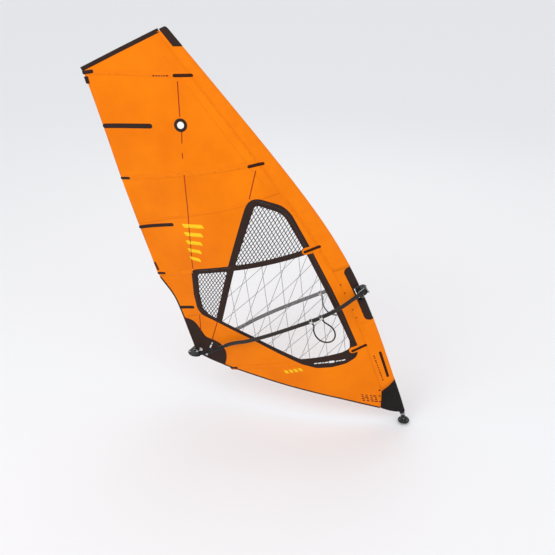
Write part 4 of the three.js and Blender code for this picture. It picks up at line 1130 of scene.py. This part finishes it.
def battens(tree):
    """Full battens in pockets on the port face, with a tensioner at the leech, and mini battens."""
    for i, (start, end) in BATTENS.items():
        close = lerp(end, start, 26 / math.dist(start, end))
        made = pocket(f"batten_pocket_{i}", start, close, 46, 8.2, "pocket", 1, tree, 60,
                      slot="orange_film", replaces=[f"batten_{i}"])
        round(math.dist(start, close) * MM, 3)
        a, z = lerp(end, start, 20 / math.dist(start, end))
        along = (Vector(end) - Vector(start)).normalized()
        points = [(a + along.x * d, z + along.y * d) for d in (-34, -28, -10, 6, 10)]
        path = [world(p[0], belly(*p) + 6.0, p[1]) for p in points]
        radii = [r * MM for r in (2.8, 4.6, 5.0, 4.6, 3.2)]
        sweep(f"batten_cap_{i}", path, radii, "rig", "plastic", 16)
    for i, (start, end, width) in enumerate(MINI_BATTENS, 1):
        marks(f"mini_batten_tape_{i}", tree, [pill(start, end, width)], "tape", (-1, 1), 1.0)
        pocket(f"mini_batten_{i}", lerp(start, end, 0.04), lerp(start, end, 0.95), width * 0.55, 3.2,
               "tape", -1, tree, 24)


def clew():
    """The dark clew patch, its steel grommet and eyelet, and two white tags."""
    holes = [circle(CLEW_RING, 13, 24), circle(CLEW_EYE, 9, 24)]
    outline = CLEW_EDGE + [(1496, 909)] + LEECH[leech_index(1450) + 1:][::-1][1:]
    made = film("clew_cloth", [outline] + holes, "tape", 1.1, slot="dark_tape", replaces=["clew_patch"])
    metal_eye("clew_grommet", CLEW_RING, 9.5, 18, slot="stainless", replaces=["clew_ring"])
    metal_eye("clew_eyelet", CLEW_EYE, 7, 13, slot="stainless")
    tags = [strip([(1566, 1100), (1538, 1130)], 13), strip([(1531, 1140), (1519, 1155)], 11)]
    marks("clew_tags", surface_tree(), tags, "white_ink", (-1, 1), 1.2)


def metal_eye(name, where, hole, rim, **more):
    """A rolled ring through the clew, square to the sail there. hole and rim are its radii."""
    a, z = where
    slope = math.atan((belly(a + 15, z) - belly(a - 15, z)) / 30)
    middle = world(a, belly(a, z), z)
    back = world(a + 1, 0, z) - world(a, 0, z)
    up = world(a, 0, z + 1) - world(a, 0, z)
    tilted = back * math.cos(slope) + Vector((0, MM, 0)) * math.sin(slope)
    out = tilted.cross(up).normalized() * MM
    half = [(hole, -2.4), (hole + 0.6, -3.6), (hole + 3, -4.2), (rim - 1.5, -3.4), (rim, -2),
            (rim - 0.4, -1.2), (hole + 2.6, -1.2)]
    lathe(name, mirrored(half), lambda x, y, h: middle + tilted * x + up * y + out * h,
          "rig", "steel", **more)


def mast():
    for name, low, high, cad in (("mast_tube_lower", 230.5, MAST_JOINT - 1, "mast_bottom"),
                                 ("mast_tube_upper", MAST_JOINT, MAST_TOP, "mast_top")):
        heights = steps(low, high, 45)
        path = [world(bend(z), 0, z) for z in heights]
        sweep(name, path, [mast_radius(z) * MM for z in heights], "rig", "carbon", 32,
              slot="mast_carbon", replaces=[cad])
    path = [world(bend(z), 0, z) for z in (MAST_JOINT + d for d in (-9, -8, 8, 9))]
    sweep("mast_ferrule", path, [0.0184, 0.0188, 0.0188, 0.0184], "rig", "plastic", 32)


def at_boom(x, y, flip=1):
    """For lathe: places turned pieces at a point of the boom, upside down with flip -1."""
    return lambda a, b, c: on_boom(x + a, y + b, flip * c)


# The boom
ARM_PATH = [(-17.5, 57.8), (39, 98), (165, 185), (343, 232), (570, 236), (874, 221), (1100, 185),
            (1200, 150), (1280, 129)] + [(x, ARM_SIDE) for x in (1340, 1420, 1500)]
TAIL_PATH = [(x, ARM_SIDE) for x in (1300, 1400, 1505, 1560)]
TAIL_PATH += [(1640, 110), (1705, 70), (1748, 34), (1760, 0)]


def boom_arms():
    for side, name in BOOM_SIDES:
        route = [(x, side * y, 0) for x, y in smooth_line(ARM_PATH, 14)]
        grip = [p for p in route if p[0] < 1345]
        radii = [17 * MM] * len(grip)
        radii[0] = radii[-1] = 16.2 * MM
        radii[1] = radii[-2] = 16.8 * MM
        sweep(f"boom_grip_{name}", [on_boom(*p) for p in grip], radii, "rig", "grip", 28,
              slot="boom_grip", replaces=[f"boom_arm_{name}"])
        bare = [on_boom(*p) for p in route if p[0] > 1338]
        tube = sweep(f"boom_front_tube_{name}", bare, 13.4 * MM, "rig", "black_alloy", 28, caps=False)
        give_wall(tube, "wall", 2.05, -1)
        collar(side, name)


def collar(side, name):
    """The arm's rear end: its collar, length marks, and the lugs and pin of the tail clip."""
    y = side * ARM_SIDE
    profile = [(13.5, 1446), (17.2, 1449), (18.6, 1456), (18.6, 1496), (17.4, 1499.6), (11.5, 1499.6),
               (11.5, 1494), (13.5, 1492)]
    lathe(f"boom_collar_{name}", profile, lambda a, b, x: on_boom(x, y + a, b), "rig", "plastic")
    dot = [(0.0, 13.1), (2.4, 13.1), (2.4, 13.62), (0.0, 13.7)]
    for k, x in enumerate((1352, 1378, 1404, 1430)):
        lathe(f"length_mark_{name}_{k + 1}", dot, at_boom(x, y), "rig", "white_ink", 16)
    ear = rounded([(-5.5, 14), (5.5, 14), (5.5, 22), (3.5, 25), (-3.5, 25), (-5.5, 22)], 2, 3)
    plan = [(COLLAR_PIN_X + a, side * (ARM_SIDE + b)) for a, b in ear]
    for end, level in ENDS:
        low, high = sorted((end * 7.6, end * 11.4))
        prism(f"clip_lug_{name}_{level}", plan, low, high, "rig", "plastic")
    pin = [on_boom(COLLAR_PIN_X, side * 150, z) for z in (-12, -11.6, 11.6, 12)]
    sweep(f"clip_pin_{name}", pin, [1.5 * MM, 2 * MM, 2 * MM, 1.5 * MM], "rig", "steel", 16)
    carry("plastic", 0.8, f"tail_clip_{name}")


def prism(name, outline, low, high, body, look, bevel=0.8, place=on_boom, **more):
    """A plate with a plan in mm between two heights, with rounded edges."""
    count = len(outline)
    verts = [place(x, y, z) for z in (low, high) for x, y in outline]
    faces = [list(range(count))[::-1], [count + i for i in range(count)]]
    faces += quads(0, count, count)
    uvs = [(x * MM, y * MM) for x, y in outline] * 2
    soft_edges(piece(name, verts, faces, body, look, uvs, **more), bevel, 3)


def boom_tail():
    route = mirrored(smooth_line(TAIL_PATH, 10))
    sweep("tail_bend", [on_boom(x, y, 0) for x, y in route], 11 * MM, "tail", "black_alloy", 28,
          slot="boom_tail_tube", replaces=["tail_tube"])
    tail_end()
    wheel = mirrored([(3.35, -3.4), (9.6, -3.4), (10.5, -3.0), (10.5, -2.4), (8.2, -0.9), (8.0, 0)])
    bolt = [(0, 14.6), (4.8, 14.6), (5.4, 15.8), (5.2, 17), (4.2, 17.8), (2.2, 18), (2, 16.8), (0, 16.8)]
    for side, name in BOOM_SIDES:
        y = side * TAIL_WHEEL_Y
        lathe(f"tail_wheel_{name}", wheel, at_boom(TAIL_WHEEL_X, y), f"sheave_{name}", "plastic",
              slot="black_nylon", replaces=[f"tail_sheave_{name}"])
        for end, level in ENDS:
            lathe(f"tail_bolt_{name}_{level}", bolt, at_boom(TAIL_WHEEL_X, y, end), "tail", "steel", 32)
        cleat = [(1742, side * 24), (1764, side * 14), (1768, side * 22), (1747, side * 33)]
        prism(f"rope_cleat_{name}", rounded(cleat, 3, 3), 14.8, 18.8, "tail", "steel", 0.7)
    half = [(1722, 52), (1732, 60), (1746, 44), (1756, 24)]
    bumper = rounded([(1722, -52)] + half + [(x, -y) for x, y in half[:0:-1]], 5, 4)
    prism("tail_bumper_low", bumper, -18.4, -14.6, "tail", "rubber", 1.0)


def inset(outline, depth):
    """The outline moved inwards by a depth."""
    sign = 1 if twice_area(outline) > 0 else -1
    made = []
    for i, p in enumerate(outline):
        before = Vector(p) - Vector(outline[i - 1])
        after = Vector(outline[(i + 1) % len(outline)]) - Vector(p)
        first = Vector((-before.y, before.x)).normalized()
        normal = (first + Vector((-after.y, after.x)).normalized()).normalized()
        made.append(tuple(Vector(p) + normal * sign * depth / max(0.4, normal.dot(first))))
    return made


def moulding(name, outline, levels, body, look, **more):
    """A plate whose rim is rounded by levels, each a height and how far the rim is drawn in there."""
    count = len(outline)
    rings = [inset(outline, depth) for _, depth in levels]
    verts = [on_boom(x, y, z) for (z, _), ring in zip(levels, rings) for x, y in ring]
    faces = []
    for i in range(len(levels) - 1):
        faces += quads(i * count, (i + 1) * count, count)
    flat_from = len(faces)
    faces += [list(range(count))[::-1], [(len(levels) - 1) * count + k for k in range(count)]]
    uvs = [(x * MM, y * MM) for ring in rings for x, y in ring]
    made = piece(name, verts, faces, body, look, uvs, flat_from, **more)
    made.data.set_sharp_from_angle(angle=math.radians(50))


def tail_end():
    """The moulded tail: two shells about the bent tube and a core that leaves room for the wheels."""
    neck = [(1676, 60), (1618, 91)]
    outer = smooth_line([(1624, 131), (1665, 119), (1718, 86), (1755, 52), (1779, 26), (1786, 0)], 6)
    plan = mirrored(smooth_line([(1708, 0), (1701, 34)] + neck, 6) + outer)
    rim = [(4.4, 0), (9.5, 0), (12.4, 0.9), (14.2, 2.6), (15, 5)]
    moulding("tail_shell_high", plan, rim, "tail", "plastic", slot="black_nylon",
             replaces=["tail_fitting"])
    moulding("tail_shell_low", plan, [(-z, depth) for z, depth in rim[::-1]], "tail", "plastic")
    core = mirrored([(1729, 0), (1729, 31), (1704, 34)] + neck + outer)
    moulding("tail_core", core, [(-4.4, 1.2), (4.4, 1.2)], "tail", "rubber")


def boom_head():
    """The clamp's CAD pieces, with its screws, the arms' socket rings, a bumper and a cord."""
    carry("plastic", 2.5, "boom_head")
    carry("plastic", 2.0, "clamp_jaw")
    carry("alloy", 1.0, "clamp_lever")
    screw = [(0, 45.4), (4.6, 45.4), (5.2, 46.4), (5.0, 47.8), (3.8, 48.6), (2.2, 48.6), (2.0, 47.2),
             (0, 47.2)]
    ring = [(19.2, 8), (20.6, 8.6), (21, 10), (20.6, 11.4), (19.2, 12), (15.3, 12), (15.3, 8)]
    angle = math.atan2(52, 73)
    for side, name in BOOM_SIDES[::-1]:
        for end, level in ENDS:
            lathe(f"head_screw_{name}_{level}", screw,
                  lambda a, b, c, s=side, h=20 * end: on_boom(-33 + a, s * (c - 0.6), h + b),
                  "rig", "steel", 32)

        def along_arm(a, b, c, s=side):
            x = c * math.cos(angle) - a * math.sin(angle)
            y = c * math.sin(angle) + a * math.cos(angle)
            return on_boom(-34 + x, s * (46 + y), b)
        lathe(f"socket_ring_{name}", ring, along_arm, "rig", "rubber")
    bumper = rounded([(-67, -16), (-67, 16), (-61, 18), (-61, -18)], 2, 3)
    prism("head_bumper", bumper, -30, -6, "rig", "rubber", 1.5)
    cord = smooth_line([(-62, 17, 26), (-50, 40, 28), (-20, 49, 22), (2, 40, 8), (9, 33, 0)], 8)
    sweep("clamp_cord", [on_boom(*p) for p in cord[:-8]], 2 * MM, "rig", "rope", 12)


def outhaul():
    """The outhaul rope: round one wheel, through the clew's eye and round the other wheel."""
    reach = 11.5
    start = [(x, -3.5, 0) for x in (1700, 1706, TAIL_WHEEL_X)]
    for k in range(1, 12):
        angle = math.pi * k / 12
        y = -(TAIL_WHEEL_Y - reach * math.cos(angle))
        start.append((TAIL_WHEEL_X + reach * math.sin(angle), y, 0))
    start += [(TAIL_WHEEL_X, -26.5, 0), (1704, -26.0, -1)]
    eye = smooth_line([(1704, -26.0, -1), (1678, -16, -8), (1656, -8, -12), (1650, 5, -12),
                       (1656, 18, -12), (1680, 22, -7), (1704, 26.0, -1)], 8)
    route = start + eye[1:-1] + [(x, -y, z) for x, y, z in start[::-1]]
    rope = sweep("outhaul_line", [on_boom(*p) for p in route], 2 * MM, "rig", "rope", 12, slot="rope")
    rope.parent = None
    del rope["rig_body"]
    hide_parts("outhaul_rope")
    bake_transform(rope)


# Harness lines: free loops that hang under each arm from two straps
LINE_FORE, LINE_AFT, STRAP_LOW = 330, 425, 31.5


def arm_point(x, side):
    """The middle of an arm, at a distance along the boom."""
    curve = smooth_line(ARM_PATH, 40)
    near = min(range(len(curve)), key=lambda i: abs(curve[i][0] - x))
    a, b = (near, near + 1) if curve[near][0] <= x else (near - 1, near)
    y = curve[a][1] + (curve[b][1] - curve[a][1]) * (x - curve[a][0]) / (curve[b][0] - curve[a][0])
    return on_boom(x, side * y, 0)


def hanging(start, end):
    """A frame between two points of an arm: its middle, along it, across it and up from it."""
    along = (end - start).normalized()
    up = Vector((0, 0, 1))
    up = (up - along * up.dot(along)).normalized()
    return (start + end) / 2, along, up.cross(along), up


def harness():
    for side, name in BOOM_SIDES:
        fore, aft = arm_point(LINE_FORE, side), arm_point(LINE_AFT, side)
        middle, along, _, up = hanging(fore, aft)
        half = (aft - fore).length / 2 / MM
        top = -STRAP_LOW - 3
        loop = [(half, top), (half + 3, top - 20), (half + 24, -92), (half + 33, -150),
                (half + 18, -207), (half - 22, -245), (-24, -252), (-64, -226),
                (-half - 38, -180), (-half - 38, -130),
                (-half - 20, -86), (-half - 3, top - 18), (-half, top)]
        path = [middle + (along * a + up * z) * MM for a, z in smooth_line(loop, 6)]
        line = sweep(f"harness_line_loop_{name}", path, 6.5 * MM, f"line_{name}", "line", 20,
                     slot="line_cover", replaces=[f"harness_line_{name}"])
        tuple(path[0])
        [tuple(p) for p in path]
        for k, x in enumerate((LINE_FORE, LINE_AFT)):
            strap(f"{name}_{k + 1}", arm_point(x - 8, side), arm_point(x + 8, side))


def strap(name, start, end):
    """A webbing wrap round the arm, the clamp that holds the line under it, and a brown flap."""
    middle, along, across, up = hanging(start, end)

    def place(a, b, c):
        return middle + (along * c + across * a + up * b) * MM
    band = [(17.2, -13), (20, -13), (20.6, -12.4), (20.6, 12.4), (20, 13), (17.2, 13)]
    lathe(f"strap_band_{name}", band, place, "rig", "webbing", slot="white_webbing",
          replaces=[f"harness_strap_{name}"])
    tab = rounded([(-9, -31.5), (9, -31.5), (9, -19.5), (-9, -19.5)], 3, 4)
    prism(f"strap_tab_{name}", tab, -3.8, 3.8, "rig", "plastic", 1.2,
          lambda a, b, c: middle + (along * a + up * b + across * c) * MM)
    overlap = [(20.4, -11), (21.7, -10.6), (21.7, 10.6), (20.4, 11)]
    verts, faces = [], []
    for i in range(13):
        angle = math.radians(20 + 10 * i)
        for r, c in overlap:
            verts.append(place(r * math.cos(angle), r * math.sin(angle), c))
    for i in range(12):
        faces += quads(4 * i, 4 * i + 4, 4)
    faces += [[3, 2, 1, 0], [48, 49, 50, 51]]
    piece(f"strap_flap_{name}", verts, faces, "rig", "webbing_brown")


# The foot: joint, extension and downhaul
SHEAVE_X, SHEAVE_Z, SHEAVE_PITCH, TACK_Z = -38, 172, 8, 290


def on_rig(x, y, z):
    """Rig coordinates in mm: x forward, y to port, z up the mast, no bend."""
    return world(-x, y, z)


def on_deck(x, y, z):
    return Vector((x, y, z)) * MM


def joint():
    pad = [(12.2, 0), (50.5, 0), (52, 1.2), (52, 3.8), (50.5, 5), (12.2, 5)]
    lathe("pad_ring", pad, on_deck, "deck_base", "rubber", 64, slot="pad_rubber", replaces=["base_pad"])
    for k, r in enumerate((45, 47.6)):
        groove = [(r, 4.9), (r + 0.6, 5.15), (r + 1.2, 4.9)]
        lathe(f"pad_rib_{k + 1}", groove, on_deck, "deck_base", "rubber", 64)
    carry("plastic", 1.5, "base_disc")
    carry("urethane", 2.2, "pivot_link")
    carry("steel", 0.8, "swivel_pin", "lower_pivot_pin", "upper_pivot_pin")
    carry("steel", 0.5, "deck_bolt")
    head = [(0, 15.6), (3.4, 15.6), (3.8, 16.4), (3.6, 17.4), (2.6, 18.0), (1.6, 18.0), (1.5, 17.0),
            (0, 17.0)]
    for k in range(6):
        angle = math.radians(30 + 60 * k)
        x, y = 38 * math.cos(angle), 38 * math.sin(angle)
        lathe(f"disc_screw_{k + 1}", head, lambda a, b, c, x=x, y=y: on_deck(x + a, y + b, c),
              "deck_base", "steel", 24)


def extension():
    carry("plastic", 1.2, "extension_cup")
    carry("steel", 0.5, "release_button")
    carry("steel", 1.0, "tack_block")
    tube = [(10.6, 150.4), (14.5, 150.4), (14.5, 208), (18.6, 209), (20, 212), (20, 227), (19, 229.8),
            (14.5, 229.8), (14.5, 438), (13.6, 440), (10.6, 440)]
    lathe("extension_shaft", tube, on_rig, "rig", "alloy", slot="alloy_tube",
          replaces=["extension_tube"])
    for k in range(3):
        z = 300 + 40 * k
        hole = [on_rig(14.3, 0, z), on_rig(14.75, 0, z)]
        sweep(f"extension_hole_{k + 1}", hole, 3 * MM, "rig", "plastic", 20)
    wheel = mirrored([(4.35, -3.1), (11.2, -3.1), (12, -2.7), (12, -2.2), (9.0, -0.7), (8.6, 0)])
    for i in (1, 2, 3):
        y = (i - 2) * SHEAVE_PITCH
        lathe(f"base_wheel_{i}", wheel, lambda a, b, c, y=y: on_rig(SHEAVE_X + a, y + c, SHEAVE_Z + b),
              f"sheave_{i}", "plastic", slot="black_nylon", replaces=[f"base_sheave_{i}"])
    downhaul_line()


def downhaul_line():
    """The rope runs three times under the sheaves and twice over the tack block above them."""
    low, high = 13.3, 13.4
    fore, aft = SHEAVE_X + low, SHEAVE_X - low
    eighths = [turn * math.pi / 4 for turn in (1, 2, 3)]
    route = [(aft, -8.8, TACK_Z - 30)]
    for i in (-1, 0, 1):
        y = i * SHEAVE_PITCH
        route += [(aft, y, SHEAVE_Z + 14), (aft, y, SHEAVE_Z)]
        route += [(SHEAVE_X - low * math.cos(t), y, SHEAVE_Z - low * math.sin(t)) for t in eighths]
        route += [(fore, y, SHEAVE_Z), (fore, y, SHEAVE_Z + 14)]
        if i < 1:
            route += [(SHEAVE_X + high, y + 1, TACK_Z - 14), (SHEAVE_X + high, y + 2, TACK_Z)]
            route += [(SHEAVE_X + high * math.cos(t), y + 3 + k, TACK_Z + high * math.sin(t))
                      for k, t in enumerate(eighths)]
            route += [(SHEAVE_X - high, y + 6, TACK_Z), (SHEAVE_X - high, y + 7, TACK_Z - 14)]
    route.append((fore, SHEAVE_PITCH, SHEAVE_Z + 60))
    path = [on_rig(*p) for p in smooth_line(route, 5)]
    sweep("downhaul_line", path, 2 * MM, "rig", "rope", 12, slot="rope", replaces=["downhaul_rope"])


# Stage, lights and camera
def stage():
    floor_mesh = bpy.data.meshes.new("floor")
    size, low = 30, -0.018
    corners = [(-size, -size, low), (size, -size, low), (size, size, low), (-size, size, low)]
    floor_mesh.from_pydata(corners, [], [[0, 1, 2, 3]])
    floor = bpy.data.objects.new("floor", floor_mesh)
    bpy.context.scene.collection.objects.link(floor)
    floor_mesh.materials.append(shader("pale_floor", (0.86, 0.86, 0.87), 0.9)[0])
    sky = bpy.data.worlds.new("studio")
    sky.use_nodes = True
    background = sky.node_tree.nodes["Background"]
    background.inputs["Color"].default_value = (0.97, 0.98, 1.0, 1)
    background.inputs["Strength"].default_value = 0.92
    bpy.context.scene.world = sky
    bpy.context.scene.view_settings.view_transform = "Standard"


def lamp(name, place, aim, size, power):
    data = bpy.data.lights.new(name, "AREA")
    data.shape = "RECTANGLE"
    data.size, data.size_y = size
    data.energy = power
    made = bpy.data.objects.new(name, data)
    bpy.context.scene.collection.objects.link(made)
    made.location = place
    made.rotation_mode = "QUATERNION"
    made.rotation_quaternion = (Vector(aim) - Vector(place)).to_track_quat("-Z", "Y")


def camera():
    """The photograph's view: from starboard, a little aft of abeam, looking down by 30 degrees."""
    azimuth, elevation = math.radians(12), math.radians(30)
    data = bpy.data.cameras.new("camera")
    data.lens, data.sensor_width = 55, 36
    made = bpy.data.objects.new("camera", data)
    bpy.context.scene.collection.objects.link(made)
    level = math.cos(elevation)
    back = Vector((math.sin(azimuth) * level, -math.cos(azimuth) * level, math.sin(elevation)))
    made.location = (0.135, -6.220, 5.046)
    made.rotation_mode = "QUATERNION"
    made.rotation_quaternion = (-back).to_track_quat("-Z", "Y")
    bpy.context.scene.camera = made


camera()
harness()
film_panels()
windows()
frame_tape()
sleeves()
fairing()
cutout()
clew()
bare_sail = surface_tree()
sail_marks(bare_sail)
seams(bare_sail)
stitch_rows(bare_sail)
battens(bare_sail)
window_threads()
mast()
boom_arms()
boom_tail()
boom_head()
outhaul()
joint()
extension()
stage()
lamp("key", (-4.5, -5.0, 6.5), (-0.9, 0, 1.6), (4, 4), 130)
lamp("fill", (4.5, -4.0, 3.5), (-0.9, 0, 1.4), (4, 3), 40)
lamp("back", (-1, 5.5, 5.0), (-0.9, 0, 1.6), (5, 3), 40)
